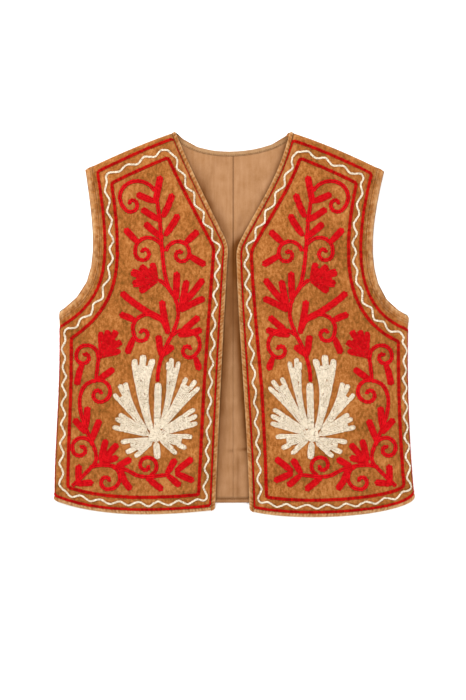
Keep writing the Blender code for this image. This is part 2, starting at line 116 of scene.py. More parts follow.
# Soft ridges (+) and troughs (-): centre x, y, length, half width, direction in degrees, height
FRONT_FOLDS = {
    "right": (
        (0.212, -0.060, 0.150, 0.015, 84, -0.0005),
        (0.100, 0.010, 0.110, 0.017, 71, 0.0004),
        (0.168, 0.085, 0.110, 0.016, 112, -0.0004),
        (0.092, 0.150, 0.110, 0.015, 62, 0.0004),
        (0.160, 0.180, 0.080, 0.013, 30, -0.0003),
        (0.200, -0.205, 0.090, 0.014, 20, 0.0004),
    ),
    "left": (
        (0.216, -0.100, 0.130, 0.014, 97, -0.0005),
        (0.070, 0.020, 0.120, 0.016, 80, -0.0004),
        (0.176, 0.060, 0.100, 0.015, 118, 0.0004),
        (0.110, 0.165, 0.120, 0.016, 70, -0.0004),
        (0.128, 0.085, 0.090, 0.014, 50, 0.0003),
        (0.060, -0.215, 0.080, 0.013, -14, 0.0004),
    ),
}
LINING_FOLDS = (
    (0.0056, -0.205, 0.080, 0.0070, 90, 0.0005),
    (-0.0420, 0.215, 0.070, 0.0090, 68, 0.0004),
    (0.0330, 0.200, 0.090, 0.0100, 104, 0.0004),
    (-0.0160, 0.130, 0.110, 0.0080, 84, 0.0003),
    (0.0000, -0.1770, 0.060, 0.0012, 8, 0.0004),
    (0.0000, -0.1800, 0.060, 0.0012, 8, -0.0003),
)
# The softness of a fold's two ends
FOLD_ENDS = 1.5
# Unevenness, here and below: size of the hills, their height and seed. First the fronts' padding
PILE_HILLS = ((0.026, 0.00030, 0), (0.009, 0.00014, 1))

# ---- Embroidery, drawn at +X in millimetres ----

# Borders: inset of each line from the edges of the garment, at even places along the edge
BORDERS = {
    "right": {
        "outer": dict(
            opening=(0.0072, 0.0070, 0.0066, 0.0072), side=(0.0012, 0.0006), hem=(0.0076, 0.0070),
            armhole=(0.0185, 0.0165, 0.0160), shoulder=(0.0080, 0.0112),
        ),
        "wave": dict(
            opening=(0.0150, 0.0145, 0.0135, 0.0165), side=(0.0103, 0.0090, 0.0050), hem=(0.0150, 0.0155),
            armhole=(0.0285, 0.0255, 0.0245), shoulder=(0.0205, 0.0215),
        ),
        "inner": dict(
            opening=(0.0242, 0.0232, 0.0200, 0.0258), side=(0.0198, 0.0163), hem=(0.0245, 0.0245),
            armhole=(0.0400, 0.0335, 0.0330), shoulder=(0.0305, 0.0345),
        ),
    },
    "left": {
        "outer": dict(
            opening=(0.0072, 0.0070, 0.0066, 0.0072), side=(0.0008, 0.0004), hem=(0.0076, 0.0070),
            armhole=(0.0185, 0.0165, 0.0160), shoulder=(0.0105, 0.0118),
        ),
        "wave": dict(
            opening=(0.0150, 0.0155, 0.0140, 0.0165), side=(0.0054, 0.0054, 0.0042), hem=(0.0150, 0.0155),
            armhole=(0.0290, 0.0255, 0.0245), shoulder=(0.0205, 0.0215),
        ),
        "inner": dict(
            opening=(0.0240, 0.0252, 0.0205, 0.0258), side=(0.0135, 0.0135), hem=(0.0245, 0.0245),
            armhole=(0.0385, 0.0335, 0.0335), shoulder=(0.0305, 0.0335),
        ),
    },
}
BORDER_CORNER = 0.0028
WAVE_PERIOD = 0.0272
WAVE_HEIGHT = 0.0028
WAVE_CORNER = 0.010
WAVE_POINTS = 900
WAVE_OVERTONE = 0.07
WAVE_DRIFT = ((0.060, 0.6, 11),)
WAVE_SWELL = ((0.030, 0.25, 12),)
WAVE_WOBBLE = ((0.007, 0.20, 13), (0.0035, 0.10, 14))

# Stems: start, two handles and end of each
STEMS = (
    ((109, 178), (98, 130), (105, 62), (84, 40)),
    ((84, 40), (62, -4), (107, -22), (107, -80)),
    ((105, 62), (97, 58), (90, 50), (84, 40)),
    ((189, -46), (191, -57), (192, -68), (193, -79)),
    ((193, -79), (214, -79), (223, -104), (210, -138)),
    ((210, -138), (203, -160), (182, -188), (199, -199)),
    ((199, -199), (206, -207), (216, -217), (226, -226)),
    ((201, -200), (185, -193), (160, -199), (147, -205)),
    ((147, -205), (130, -217), (120, -213), (92, -210)),
)
# Scrolls, all with the same coil: root x, y, eye x, y, and degrees wound from root to eye
SCROLLS = (
    (111, 187, 144, 168, -500),
    (99, 102, 127, 100, -510),
    (95, 103, 74, 98, 470),
    (96, -5, 129, -13, -500),
    (88, -17, 63, -36, 480),
    (190, -46, 210, -45, -470),
    (196, -79, 188, -98, 450),
    (198, -169, 215, -174, -440),
    (181, -197, 177, -220, 450),
    (117, -211, 122, -197, -420),
)
SCROLL_COIL = 0.0116
# Degrees over which a scroll closes in to its coil, and how far and how late the coil shrinks to its eye
SCROLL_CLOSES = 180
EYE_SHRINKS = 0.85
EYE_ONSET = 3
# Leaves: tip x, y, base x, y, and how far the middle bends to the left of the way to the tip
LEAVES = (
    (103, 208, 110, 170, 0), (136, 183, 109, 172, -1), (86, 183, 100, 150, 1),
    (129, 162, 101, 145, -1), (78, 154, 97, 124, 1), (125, 142, 99, 121, -1),
    (153, 134, 134, 114, 0), (50, 131, 69, 113, 0), (40, 83, 64, 97, 0),
    (80, 74, 81, 34, 0), (66, 62, 74, 23, 0), (43, 64, 71, 30, 1),
    (41, 37, 76, 19, -1), (158, 45, 98, 6, -3), (101, 34, 92, -13, -1),
    (49, 11, 76, -13, 0), (45, -7, 78, -15, 1), (160, 14, 136, 4, 1),
    (150, -41, 140, -18, 0), (49, -64, 55, -46, -1), (106, -15, 102, -44, 0),
    (85, -30, 102, -44, 0), (220, -85, 212, -55, 1), (168, -62, 192, -79, 0),
    (205, -115, 207, -145, 0), (224, -132, 207, -152, 0), (188, -133, 200, -164, 0),
    (179, -161, 187, -191, 0), (163, -167, 183, -190, 0), (162, -186, 188, -193, 0),
    (217, -196, 218, -222, 0), (197, -221, 221, -223, 0), (144, -188, 164, -199, 0),
    (144, -231, 158, -202, 3), (100, -232, 122, -214, 0), (82, -188, 94, -209, 0),
    (58, -187, 82, -206, 0), (56, -219, 82, -208, 0), (75, -226, 93, -211, 0),
)
# Petals: root x, y, half width there, how late the petal flares, bend of its middle to the left of
# the way to the tips, width of a row at the tips, and the tips of its lobes
PALMETTE_PETALS = (
    (114, -152, 4.4, 2.1, -7.2, 3.2, ((139.5, -49), (128, -43), (113, -48.5))),
    (108, -153, 4.4, 1.0, 0.0, 3.3, ((106, -82),)),
    (104, -149, 3.4, 2.8, 3.6, 2.3, ((93, -53), (87, -47.5), (77, -52.5))),
    (103, -147, 4.1, 1.8, 0.0, 2.4, ((66.5, -74.5), (53.5, -78.5), (49, -88))),
    (103, -152, 4.1, 1.0, 0.0, 2.4, ((55, -118.5), (52, -127.5), (51.5, -138))),
    (105, -157, 4.0, 1.0, 0.0, 2.5, ((58.5, -157), (67, -173), (80.5, -181))),
    (109, -161, 4.2, 1.0, 0.0, 3.2, ((107, -188),)),
    (113, -161, 4.2, 1.0, 0.0, 2.5, ((138.5, -185), (151, -179), (158, -164.5))),
    (117, -155, 4.0, 1.1, 0.0, 2.4, ((169.5, -143.5), (165.5, -131.5), (160.5, -125.5))),
    (121, -150, 3.8, 2.2, -2.0, 2.4, ((168, -97.5), (160.5, -84.5), (152, -81.5))),
)
PALMETTE_HUB = (109.5, -154, 9.5)
HUB_TURNS = 4
HUB_STEPS = 90
HUB_START = 0.0010
HUB_HALF_WIDTH = 0.0015
TULIP_PETALS = (
    (105, 60, 0.0, 1.0, 0.0, 3.8, ((115, 86), (131, 82), (144, 73), (142, 58), (132, 46))),
    (189, -48, 0.0, 1.0, 0.0, 3.2, ((186, -10), (176, -8), (164, -9), (158.5, -23), (159, -37))),
)
# How far the side rows of a lobe fall short of its middle one, depth of the notches between lobes,
# radius at which the rows start, and radius by which a stalk has its width
PALMETTE_SHAPE = (0.0009, 0.0095, 0.0035, 0.0080)
TULIP_SHAPE = (0.0010, 0.0050, 0.0025, 0.0080)
# The side rows of a lobe close in on its middle row over its last stretch
LOBE_CLOSING = 0.0045
LOBE_CLOSING_SHARE = 0.45
# Rows from the middle of a lobe to its side
HALF_LOBE = 1.5

# Chain stitch: distance from link to link, and half widths of a row
LINK = 0.0033
BORDER_HALF_WIDTH = 0.0024
# The outer line, in the order in which it runs, is finer along a binding and at the side
OUTER_LINE = {
    "hem": 0.0021,
    "side": 0.0010,
    "armhole": 0.0022,
    "shoulder": 0.0022,
    "opening": 0.0013,
}
OUTER_LINE_STATIONS = 400
LAST_STATION = 0.999
STEM_HALF_WIDTH = 0.0029
WAVE_HALF_WIDTH = 0.00135
LEAF_ROW = 0.0030
LEAF_SWELL = 0.012
LEAF_TIP = 0.0045
LEAF_BASE = 0.58
LEAF_TIP_CUT = 0.75
LEAF_SIDE_ROWS = (0.0010, 0.0012)
LEAF_ROW_HALF_WIDTH = 0.0018
# How much of the outer line shows beside the binding of the opening: place up the garment, share
NECK_LINE_SHOWS = {
    "right": ((0.08, 1.0), (0.11, 0.8), (0.14, 0.5), (0.16, 0.38), (0.27, 0.38)),
    "left": ((0.08, 1.0), (0.13, 0.9), (0.17, 0.55), (0.22, 0.60), (0.25, 1.0)),
}
CLOSEST_ROWS = 0.0019
SHORTEST_ROW = 1.5 * LINK
FILL_HALF_WIDTHS = (0.0010, 0.0029)
FILL_OVERLAP = 1.08
FILL_LINK = 0.0028
FAN_STEPS = 32
FAN_SMOOTHING = 5
SPREAD_STEPS = 200
YARN_HEIGHT = 0.0012
YARN_FLATNESS = 0.9
# How far a stitch strays from its place and its line, and the least and most of its width and height
STITCH_SHIFT = 0.00012
STITCH_TURN = 0.05
STITCH_WIDTHS = (0.93, 1.07)
STITCH_HEIGHTS = (0.88, 1.12)
# One half of a link: place along it, place across it, height, thickness, as shares of its size.
# The red yarn is closed and the cream yarn leaves a small hole.
RED_LEG = (
    (-0.20, 0.18, 0.16, 0.36),
    (0.24, 0.52, 0.56, 0.49),
    (0.72, 0.55, 0.58, 0.49),
    (1.16, 0.18, 0.34, 0.36),
)
CREAM_LEG = (
    (-0.20, 0.20, 0.16, 0.36),
    (0.30, 0.48, 0.50, 0.46),
    (0.72, 0.62, 0.58, 0.42),
    (1.16, 0.16, 0.34, 0.34),
)
# Most height of the yarn for the half width of its row
YARN_RISE = 0.62
# A straight sewing stitch, in the same terms
SEWING_STITCH = (
    (-0.02, 0.0, -0.30, 0.55),
    (0.18, 0.0, 0.45, 0.90),
    (0.82, 0.0, 0.45, 0.90),
    (1.02, 0.0, -0.30, 0.55),
)
SEWING_HALF_WIDTH = 0.00025
SEWING_HEIGHT = 0.00045
TOPSTITCH = (0.0025, 0.0006)
TOPSTITCH_ENDS = 0.8 * HEM_BINDING

# Velvet fronts: pressed down at the embroidery and puffed beside it, darker where pressed with crushed pile
# and painted shade, paler at seams and at the neck
SINK_DEPTH = 0.00045
SINK_REACH = 0.0030
PUFF = 0.4
PUFF_DISTANCE = 2.2
PRESSED_SHADE = 0.15
SEAM_WEAR = 0.5
SEAM_WEAR_REACH = 0.006
NECK_WEAR = 0.62
NECK_WEAR_EDGE = 1.6
NECK_WEAR_REACH = 0.012
NECK_WEAR_BEGINS = 0.11
NECK_WEAR_GROWS = 0.03

# Bands: edge, width, edges that end it, pitch, slant and depth of its puckers, how pale it is, and
# its stitch lines by distance from the garment's edge
Band = namedtuple("Band", "edge width ends pitch slant pucker paleness stitch_lines")
BANDS = {
    "armhole_band": Band(
        "armhole", ARMHOLE_BAND, ("side", "shoulder"), 0.0067, 0.4, 0.00006, 0.12, (0.0062, 0.0092)
    ),
    "front_binding": Band(
        "opening", FRONT_BINDING, ("hem", "shoulder"), 0.0056, 0.5, 0.00042, 0.04, (0.0056,)
    ),
    "hem_binding": Band("hem", HEM_BINDING, ("opening", "side"), 0.0046, 0.3, 0.00032, 0.45, (0.0054,)),
}
# Lower corner: its rounding, the widths over which a band lies flat there, and how soon its arch
# and its grooves give way
CORNER_ROUND = 0.0042
CORNER_FLAT = 1.5
CORNER_ARCH = 3
CORNER_GROOVE = 2
BAND_LIFT = 0.0009
BAND_COLUMNS = 11
BAND_UNDERSIDE_SHARE = 3
GROOVE_HALF_WIDTH = 0.0007
GROOVE_DEPTH = 0.0005
# Puckers: their drift and their strength along the band in pitches, a second wave, and the band's arch
PUCKER_DRIFT = (0.6, 2.1, 7)
PUCKER_STRENGTH = (0.45, 1.7, 9)
SECOND_WAVE = (0.4, 1.9)
ARCH_POWER = 0.6
ARCH_ENDS = 0.02
RIM_POWER = 6
RIM_ROLL = 0.9
RIM_DROP = 0.0008
MOTTLE_HILLS = ((0.0036, 0.30, 15),)
# Painted highlight on the puckers' tops for their height, paleness of the rim, and painted shade in the
# grooves and puckers
TOP_HIGHLIGHT = 1000
PALE_RIM = 0.62
GROOVE_SHADE = 0.28
SEAM_SHADE = 0.3
PALEST_BAND = 1.1
PUCKER_SHADE = 1700
# A strip's width is raised to at least this, which is then not used
NARROWEST_CUT = 0.0100

# How far a path runs on past its ends, so that others can cut it
RUN_ON = 0.04

# Mesh density
CURVE_STEPS = 48
RUN_POINTS = 240
LAP_POINTS = 960
PARALLEL = 1e-15
SAME_PLACE = 1e-5
HILL_CELLS = 64
HILL_START = 31.7
SLOPE_STEP = 0.0003
ROLL_STEPS = 7
EDGE_STATIONS = 96
FRONT_COLUMNS = (14, 84, 10)
FRONT_ROWS_BELOW = (12, 96)
FRONT_ROWS_ABOVE = (28, 20, 60)
UNDERSIDE_SHARE = 5
BAND_STEP = 0.0008
LINING_COLUMNS = (46, 16)
LINING_ROWS = (70, 60)
BACK_STEPS = 110

# Shadow of each front on the lining: place up the garment, strength, and how far it reaches
LINING_SHADOWS = {
    "right": (
        (-0.24, 0.55, 0.005), (-0.16, 0.65, 0.009), (-0.10, 0.95, 0.010), (-0.03, 1.05, 0.012),
        (0.02, 0.75, 0.015), (0.05, 0.75, 0.013), (0.07, 0.40, 0.010), (0.10, 0.45, 0.009),
        (0.14, 0.90, 0.011), (0.175, 1.25, 0.0085), (0.21, 0.85, 0.013), (0.23, 0.50, 0.010),
        (0.27, 0.60, 0.006),
    ),
    "left": (
        (-0.24, 0.40, 0.004), (-0.20, 0.40, 0.005), (-0.16, 1.00, 0.006), (-0.10, 1.25, 0.008),
        (-0.03, 1.25, 0.0075), (0.02, 0.85, 0.013), (0.05, 0.90, 0.012), (0.07, 1.30, 0.012),
        (0.105, 1.30, 0.010), (0.125, 0.90, 0.006), (0.15, 0.40, 0.004), (0.19, 0.75, 0.0045),
        (0.26, 1.00, 0.006),
    ),
}
DEEPEST_SHADE = 1.3
# How much red, green and blue a full shade takes
SHADE_DEPTHS = (0.52, 0.62, 0.72)
LINING_LOW_SHADE = 0.20
# Creases in the lining, as the folds: their last number is how much painted shade lies in them
LINING_CREASES = (
    (0.0062, 0.132, 0.056, 0.0034, 84, 0.34),
    (0.0150, 0.122, 0.030, 0.0030, 35, 0.16),
    (0.0056, -0.214, 0.070, 0.0026, 90, 0.40),
    (0.0030, -0.1765, 0.046, 0.0009, 7, 0.50),
    (-0.0120, -0.150, 0.060, 0.0040, 82, 0.10),
    (-0.0340, 0.205, 0.080, 0.0045, 66, 0.14),
    (0.0360, 0.185, 0.090, 0.0050, 112, 0.12),
    (0.0150, 0.150, 0.080, 0.0035, 60, 0.10),
    (-0.0180, 0.160, 0.090, 0.0040, 100, 0.10),
    (-0.0160, 0.232, 0.050, 0.0030, 120, 0.10),
)
CREASE_DEPTH = 0.0008
# The centre seam of the lining shows above this place, and is pressed flat below
SEAM_SHOWS = (0.060, 0.130)
PRESSED_SEAM_GAP = 0.00003
# A place past the ends of the garment
BEYOND = 0.3
# Edges of one half of the lining, and the two that end each
LINING_CORNERS = {
    "centre": ("hem", "neckline"),
    "neckline": ("centre", "shoulder"),
    "shoulder": ("neckline", "armhole"),
    "hem": ("centre", "side"),
    "side": ("hem", "armhole"),
    "armhole": ("side", "shoulder"),
}
# The centre seam's sink and shade, each with its reach
SEAM_SINK = (0.0004, 0.0012)
SEAM_SHADE_LINE = (0.40, 0.0006)
# Hills and shade clouds of the lining, and where its low shade starts and how far up it reaches
LINING_HILLS = ((0.011, 0.00020, 3),)
LINING_CLOUDS = ((0.012, 0.05, 4),)
LINING_LOW = (-0.10, 0.25)

# Facings: columns, depth and pitch of their puckers and how they drift, their groove (depth, place
# and half width), their lift, and the shade at their rims, seams and ends
FACING_COLUMNS = 8
FACING_PUCKER = (0.00012, 0.0072)
FACING_PUCKER_DRIFT = ((0.02, 2, 5),)
FACING_GROOVE = (0.0003, 0.22, 0.08)
FACING_LIFT = 0.0002
FACING_RIM_SHADE = (0.5, 0.10)
FACING_SEAM_SHADE = (2, 8)
FACING_END = 0.020
FACING_END_SHADE = 0.8
NECK_FACING_SHADE = 0.04
HEM_FACING_SHADE = 0.44
FACING_STITCH_LINE = 0.0014
STITCH_SINK = 0.0001

# Cut of the panels that are larger than what shows of them
PANEL_CUT = (0.250, 0.550)
BACK_CUT = (0.520, 0.545)
LINING_CUT_SHARE = 1.10

# Unevenness of the colours: size, detail and roughness
BLOTCHES = (0.028, 3, 0.5)
PATCHES = (0.0038, 3, 0.60)
NAP = (0.0013, 2, 0.7)
STREAKS = (0.0045, 3, 0.6)
CLOUDS = (0.016, 3)
THREADS = (0.0009, 1)
FIBRES = (0.0007, 2, 0.6)
YARN_WEAR = (0.012, 2)
SPECKS = (0.0013, 1)
PILE_STRETCH = (1.0, 0.55, 1.0)
STREAK_STRETCH = (1.0, 0.12, 1.0)
PILE_DARKER = -0.065
PILE_DEPTH = 0.0009
FIBRE_DEPTH = 0.00035
TWILL_ANGLE = 35
TWILL_WAVES = 3.2
YARN_TONE = 0.65
# Velvet: weights of patches, blotches and nap in its tone, places of its colours, how far patches
# change its paling by wear and painted highlight, and weights of patches and nap in its relief
PILE_TONE = (0.45, 0.28, 0.40)
PILE_STOPS = (0.36, 0.50, 0.64)
PILE_PALING = (-0.2, 1.8)
PILE_RELIEF = (0.7, 0.3)
# Twill: its ribs, weights of clouds, threads and streaks in its tone, and of ribs and threads in its relief
TWILL_RIBS = {"Distortion": 0.6, "Detail": 1.0}
TWILL_TONE = (0.45, 0.30, 0.45)
TWILL_STOPS = (0.35, 0.80)
TWILL_RELIEF = (0.5, 0.5)
YARN_WORN = 0.10
FIBRE_TONE = 0.45
YARN_STOPS = (0.28, 0.85)
SPECK_STOPS = (0.58, 0.68)
MATT = 0.06

# Light: brightness of a white surface, and what gives it
LIGHT_LEVEL = 2.0
SKY_STRENGTH = 1.10
# Lamps: place, size, power
LAMPS = {"key": ((-0.9, 1.0, 1.5), 0.9, 33.0), "fill": ((1.3, -0.6, 1.4), 1.2, 12.0)}
FLOOR_SIZE = 4.0
FLOOR_LEVEL = -0.0002
FLOOR_COLOUR = (0.95, 0.95, 0.95, 1)
FLOOR_ROUGHNESS = 0.9

# Camera: place, and lens and sensor in millimetres
EYE = (-0.0014, -0.0357, 2.0)
LENS = 73.2
SENSOR = 36
FARTHEST = 20


# ---- Paths: arrays of points (x, y) ----


def bezier(corners):
    """Points along a cubic curve, from its start, two handles and end."""
    start, first, second, end = np.array(corners)
    t = evenly(CURVE_STEPS + 1)[:, None]
    return (1 - t) ** 3 * start + 3 * (1 - t) ** 2 * t * first + 3 * (1 - t) * t**2 * second + t**3 * end


def lengths(path):
    """Distance along the path to each of its points."""
    return np.concatenate([[0], np.cumsum(np.hypot(*np.diff(path, axis=0).T))])


def resampled(path, fractions):
    """Points at these fractions of the path's length."""
    along = lengths(path)
    wanted = np.asarray(fractions) * along[-1]
    return np.stack([np.interp(wanted, along, path[:, axis]) for axis in (0, 1)], axis=1)


def joined(first, second):
    return np.concatenate([first, second[1:]])


def flipped(path):
    """The path mirrored to the other side, still running the same way across."""
    return path[::-1] * (-1, 1)


def extended(path):
    """The path with a straight run added at both ends."""
    start, end = path[0] - path[1], path[-1] - path[-2]
    before = path[0] + start / np.hypot(*start) * RUN_ON
    after = path[-1] + end / np.hypot(*end) * RUN_ON
    return np.concatenate([[before], path, [after]])


def smoothed(path, reach, closed=False):
    """The path with its corners rounded over this length, by a moving average along it."""
    whole = np.concatenate([path[:-1], path, path[1:]]) if closed else extended(path)
    even = resampled(whole, evenly(3 * LAP_POINTS if closed else RUN_POINTS))
    window = max(1, int(reach / lengths(even)[1]))
    kernel = np.ones(window) / window
    mean = np.stack([np.convolve(even[:, axis], kernel, "valid") for axis in (0, 1)], axis=1)
    if not closed:
        return mean
    return np.concatenate([mean[LAP_POINTS : 2 * LAP_POINTS], mean[LAP_POINTS : LAP_POINTS + 1]])


def moved(path, distance):
    """The path shifted sideways, to the left of its travel where the distance is positive."""
    tangent = np.gradient(path, axis=0)
    tangent /= np.hypot(*tangent.T)[:, None]
    return path + np.reshape(distance, (-1, 1)) * np.stack([-tangent[:, 1], tangent[:, 0]], axis=1)


def crossing(path, cutter):
    """Distance along the path at which the cutter crosses it."""
    start, step = path[:-1, None], np.diff(path, axis=0)[:, None]
    offset, reach = cutter[None, :-1] - start, np.diff(cutter, axis=0)[None]
    turn = step[..., 0] * reach[..., 1] - step[..., 1] * reach[..., 0]
    turn = np.where(np.abs(turn) < PARALLEL, np.nan, turn)
    on_path = (offset[..., 0] * reach[..., 1] - offset[..., 1] * reach[..., 0]) / turn
    on_cutter = (offset[..., 0] * step[..., 1] - offset[..., 1] * step[..., 0]) / turn
    hits = (on_path >= 0) & (on_path <= 1) & (on_cutter >= 0) & (on_cutter <= 1)
    index, other = np.argwhere(hits)[0]
    along = lengths(path)
    return along[index] + on_path[index, other] * (along[index + 1] - along[index])


def between(path, first, second):
    """The stretch of the path from one cutter to the other."""
    along = lengths(path)
    low, high = crossing(path, first), crossing(path, second)
    inside = (along > low + SAME_PLACE) & (along < high - SAME_PLACE)
    ends = resampled(path, np.array([low, high]) / along[-1])
    return np.concatenate([ends[:1], path[inside], ends[1:]])


def cut(lines, corners):
    """Each line's stretch between its two neighbours."""
    return {
        name: between(lines[name], lines[first], lines[last])
        for name, (first, last) in corners.items()
    }


def side_of(points, path):
    """Distance of each point from the path, positive to the left of its travel."""
    start, step = path[:-1], np.diff(path, axis=0)
    offset = points[..., None, :] - start
    along = np.clip((offset * step).sum(-1) / (step**2).sum(-1), 0, 1)
    away = np.linalg.norm(offset - along[..., None] * step, axis=-1)
    nearest = away.argmin(-1)[..., None]
    turn = step[:, 0] * offset[..., 1] - step[:, 1] * offset[..., 0]
    away, turn = (np.take_along_axis(values, nearest, -1)[..., 0] for values in (away, turn))
    return np.copysign(away, turn)


def round_about(radius, angle):
    """Points at these distances and angles from (0, 0)."""
    return radius[:, None] * np.stack([np.cos(angle), np.sin(angle)], axis=1)


def evenly(count):
    """Fractions from 0 to 1 in even steps."""
    return np.linspace(0, 1, count)


def bell(values):
    """1 at 0, and a smooth fall to either side."""
    return np.exp(-(values**2))


def eased(values):
    """A smooth step from 0 to 1."""
    t = np.clip(values, 0, 1)
    return t * t * (3 - 2 * t)


def fractions(stops, counts):
    """Fractions from the first stop to the last, with so many even steps between each pair."""
    runs = zip(stops, stops[1:], counts)
    return np.concatenate([[stops[0]], *(np.linspace(low, high, count + 1)[1:] for low, high, count in runs)])


def roll_steps(length):
    """Fractions of a length at which a rolled edge is stepped, from the edge inwards."""
    return ROLL_PACKING / length * (1 - np.cos(np.linspace(0, math.pi / 2, ROLL_STEPS + 1)))


def stepped(first, stops, counts, last):
    """Rolled steps at the start, even steps between the stops and rolled steps at the end."""
    return np.concatenate([first, fractions(stops, counts)[1:-1], last])


def folds(points, table):
    """Height of the soft ridges and troughs at each point."""
    total = np.zeros(points.shape[:-1])
    for x, y, length, half_width, degrees, height in table:
        cos, sin = math.cos(math.radians(degrees)), math.sin(math.radians(degrees))
        offset = points - (x, y)
        along = offset @ (cos, sin) / (length / 2)
        across = offset @ (-sin, cos) / half_width
        total += height * bell(across) * eased(FOLD_ENDS * (1 - along**2))
    return total


def hills(points, size, seed):
    """Smooth uneven values from -1 to 1, with hills of this size."""
    values = np.random.default_rng(seed).uniform(-1, 1, (HILL_CELLS, HILL_CELLS))
    place = np.asarray(points) / size + HILL_START
    cell = np.floor(place).astype(int)
    share = eased(place - cell)
    total = np.zeros(place.shape[:-1])
    for step in np.ndindex(2, 2):
        weight = np.where(step, share, 1 - share).prod(-1)
        x, y = np.moveaxis((cell + step) % HILL_CELLS, -1, 0)
        total += weight * values[x, y]
    return total


def uneven(points, rows):
    """The sum of hills given as (size, height, seed)."""
    return sum(height * hills(points, size, seed) for size, height, seed in rows)


# ---- Surfaces: grids of points, with rows up the garment and columns away from its centre ----


def patch(bottom, top, inner, outer, across, upward):
    """Coons patch between four paths."""
    u = np.asarray(across)[None, :, None]
    v = np.asarray(upward)[:, None, None]
    low, high = resampled(bottom, across)[None], resampled(top, across)[None]
    left, right = resampled(inner, upward)[:, None], resampled(outer, upward)[:, None]
    low_corners = (1 - u) * low[:, :1] + u * low[:, -1:]
    high_corners = (1 - u) * high[:, :1] + u * high[:, -1:]
    return (1 - u) * left + u * right + (1 - v) * (low - low_corners) + v * (high - high_corners)


def level(points, height):
    """Points at this height above the surface."""
    return np.concatenate([points, np.broadcast_to(height, points.shape[:-1])[..., None]], axis=-1)


class Front:
    """Outline of one front at +X, and the form of its face."""

    corners = {
        "hem": ("opening", "side"),
        "side": ("hem", "armhole"),
        "armhole": ("side", "shoulder"),
        "shoulder": ("opening", "armhole"),
        "opening": ("hem", "shoulder"),
    }

    def __init__(self, side):
        self.side = side
        self.mirror = (1, 1, 1) if side == "left" else (-1, 1, 1)
        self.edges = {name: bezier(corners) for name, corners in OUTLINES[side].items()}
        opening = smoothed(joined(self.edges["front"], self.edges["neck"]), BREAK_ROUNDING)
        self.edges["opening"] = resampled(opening, evenly(EDGE_STATIONS))
        self.panel = self.outline(PANEL_INSETS)
        self.panel["outer"] = joined(self.panel["side"], self.panel["armhole"])
        self.across, self.upward, self.underarm = self.stations()

    def stations(self):
        """Fractions across and up the panel, closest at its rolled edges and bends, and its underarm."""
        width, height = lengths(self.panel["hem"])[-1], lengths(self.panel["outer"])[-1]
        strips = (FREE_EDGES["opening"][1] / width, 1 - FREE_EDGES["armhole"][1] / width)
        stops = (0, *strips, 1 - ROLL_PACKING / width)
        across = stepped([0], stops, FRONT_COLUMNS, 1 - roll_steps(width)[::-1])
        underarm = lengths(self.panel["side"])[-1] / height
        stops = (0, FREE_EDGES["hem"][1] / height, underarm)
        below = stepped([0], stops, FRONT_ROWS_BELOW, underarm + roll_steps(height))
        opening, corner = self.panel["opening"], self.edges["front"][-1]
        middle = lengths(opening)[np.hypot(*(opening - corner).T).argmin()]
        span = np.array([middle - BREAK_ROUNDING, middle + BREAK_ROUNDING]) / lengths(opening)[-1]
        stops = (below[-1], *span, 1 - ROLL_PACKING / height)
        upward = stepped(below, stops, FRONT_ROWS_ABOVE, 1 - roll_steps(height)[::-1])
        return across, upward, underarm

    def line(self, name, inset=0.0):
        """An edge moved into the front, with its ends run on ready to be cut."""
        edge = self.edges[name]
        insets = np.atleast_1d(inset)
        places = lengths(edge) / lengths(edge)[-1]
        along = np.interp(places, evenly(len(insets)), insets)
        return extended(moved(edge, along * self.inwards(name)))

    @staticmethod
    def inwards(name):
        """1 for an edge with the front on its left, -1 for one with the front on its right."""
        return -1 if name in ("opening", "shoulder") else 1

    def depth(self, points, name):
        """How far each point lies inside an edge."""
        return self.inwards(name) * side_of(points, self.line(name))

    def outline(self, insets):
        """The five edges, each moved in by its inset and cut by its two neighbours."""
        return cut({name: self.line(name, inset) for name, inset in insets.items()}, self.corners)

    def ring(self, insets):
        """The closed line that runs at these insets, from the lower front corner round by the side."""
        edges = self.outline(insets)
        path = joined(joined(edges["hem"], edges["side"]), edges["armhole"])
        return joined(joined(path, edges["shoulder"][::-1]), edges["opening"][::-1])

    def height(self, points):
        """Height of the face above each of these places."""
        drops = [
            (CROWN - height) * (1 - eased(self.depth(points, name) / reach))
            for name, (height, reach) in FREE_EDGES.items()
        ]
        drop = (np.array(drops) ** DROP_BLEND).sum(0) ** (1 / DROP_BLEND)
        garment = points * self.mirror[:2]
        back_hem = np.interp(garment[..., 0], *bezier(BACK_HEM).T)
        past_back_hem = back_hem - OVERHANG_CLEARANCE - points[..., 1]
        drop = drop + OVERHANG_FALL * eased(past_back_hem / OVERHANG_REACH)
        flat = CROWN - drop + folds(points, FRONT_FOLDS[self.side]) + uneven(garment, PILE_HILLS)
        roll = np.ones(points.shape[:-1])
        for name in SEWN_EDGES:
            near = 1 - np.clip(self.depth(points, name) / ROLL_REACH, 0, 1)
            roll *= np.sqrt(1 - near**2)
        return INSIDE_LEVEL + (flat - INSIDE_LEVEL) * roll

    def frames(self, points):
        """(places on the face, unit normals there)."""
        slopes = [
            (self.height(points + step) - self.height(points - step)) / (2 * SLOPE_STEP)
            for step in np.eye(2) * SLOPE_STEP
        ]
        normal = np.stack([-slopes[0], -slopes[1], np.ones_like(slopes[0])], axis=-1)
        normal /= np.linalg.norm(normal, axis=-1, keepdims=True)
        return level(points, self.height(points)), normal

    def layer(self, points, lifts):
        """Points at these distances from the face along its normals, kept above the back."""
        places, normal = self.frames(points)
        return above_back(places + normal * np.asarray(lifts)[..., None])


def above_back(points):
    points[..., 2] = np.maximum(points[..., 2], INSIDE_LEVEL)
    return points


# ---- Meshes ----


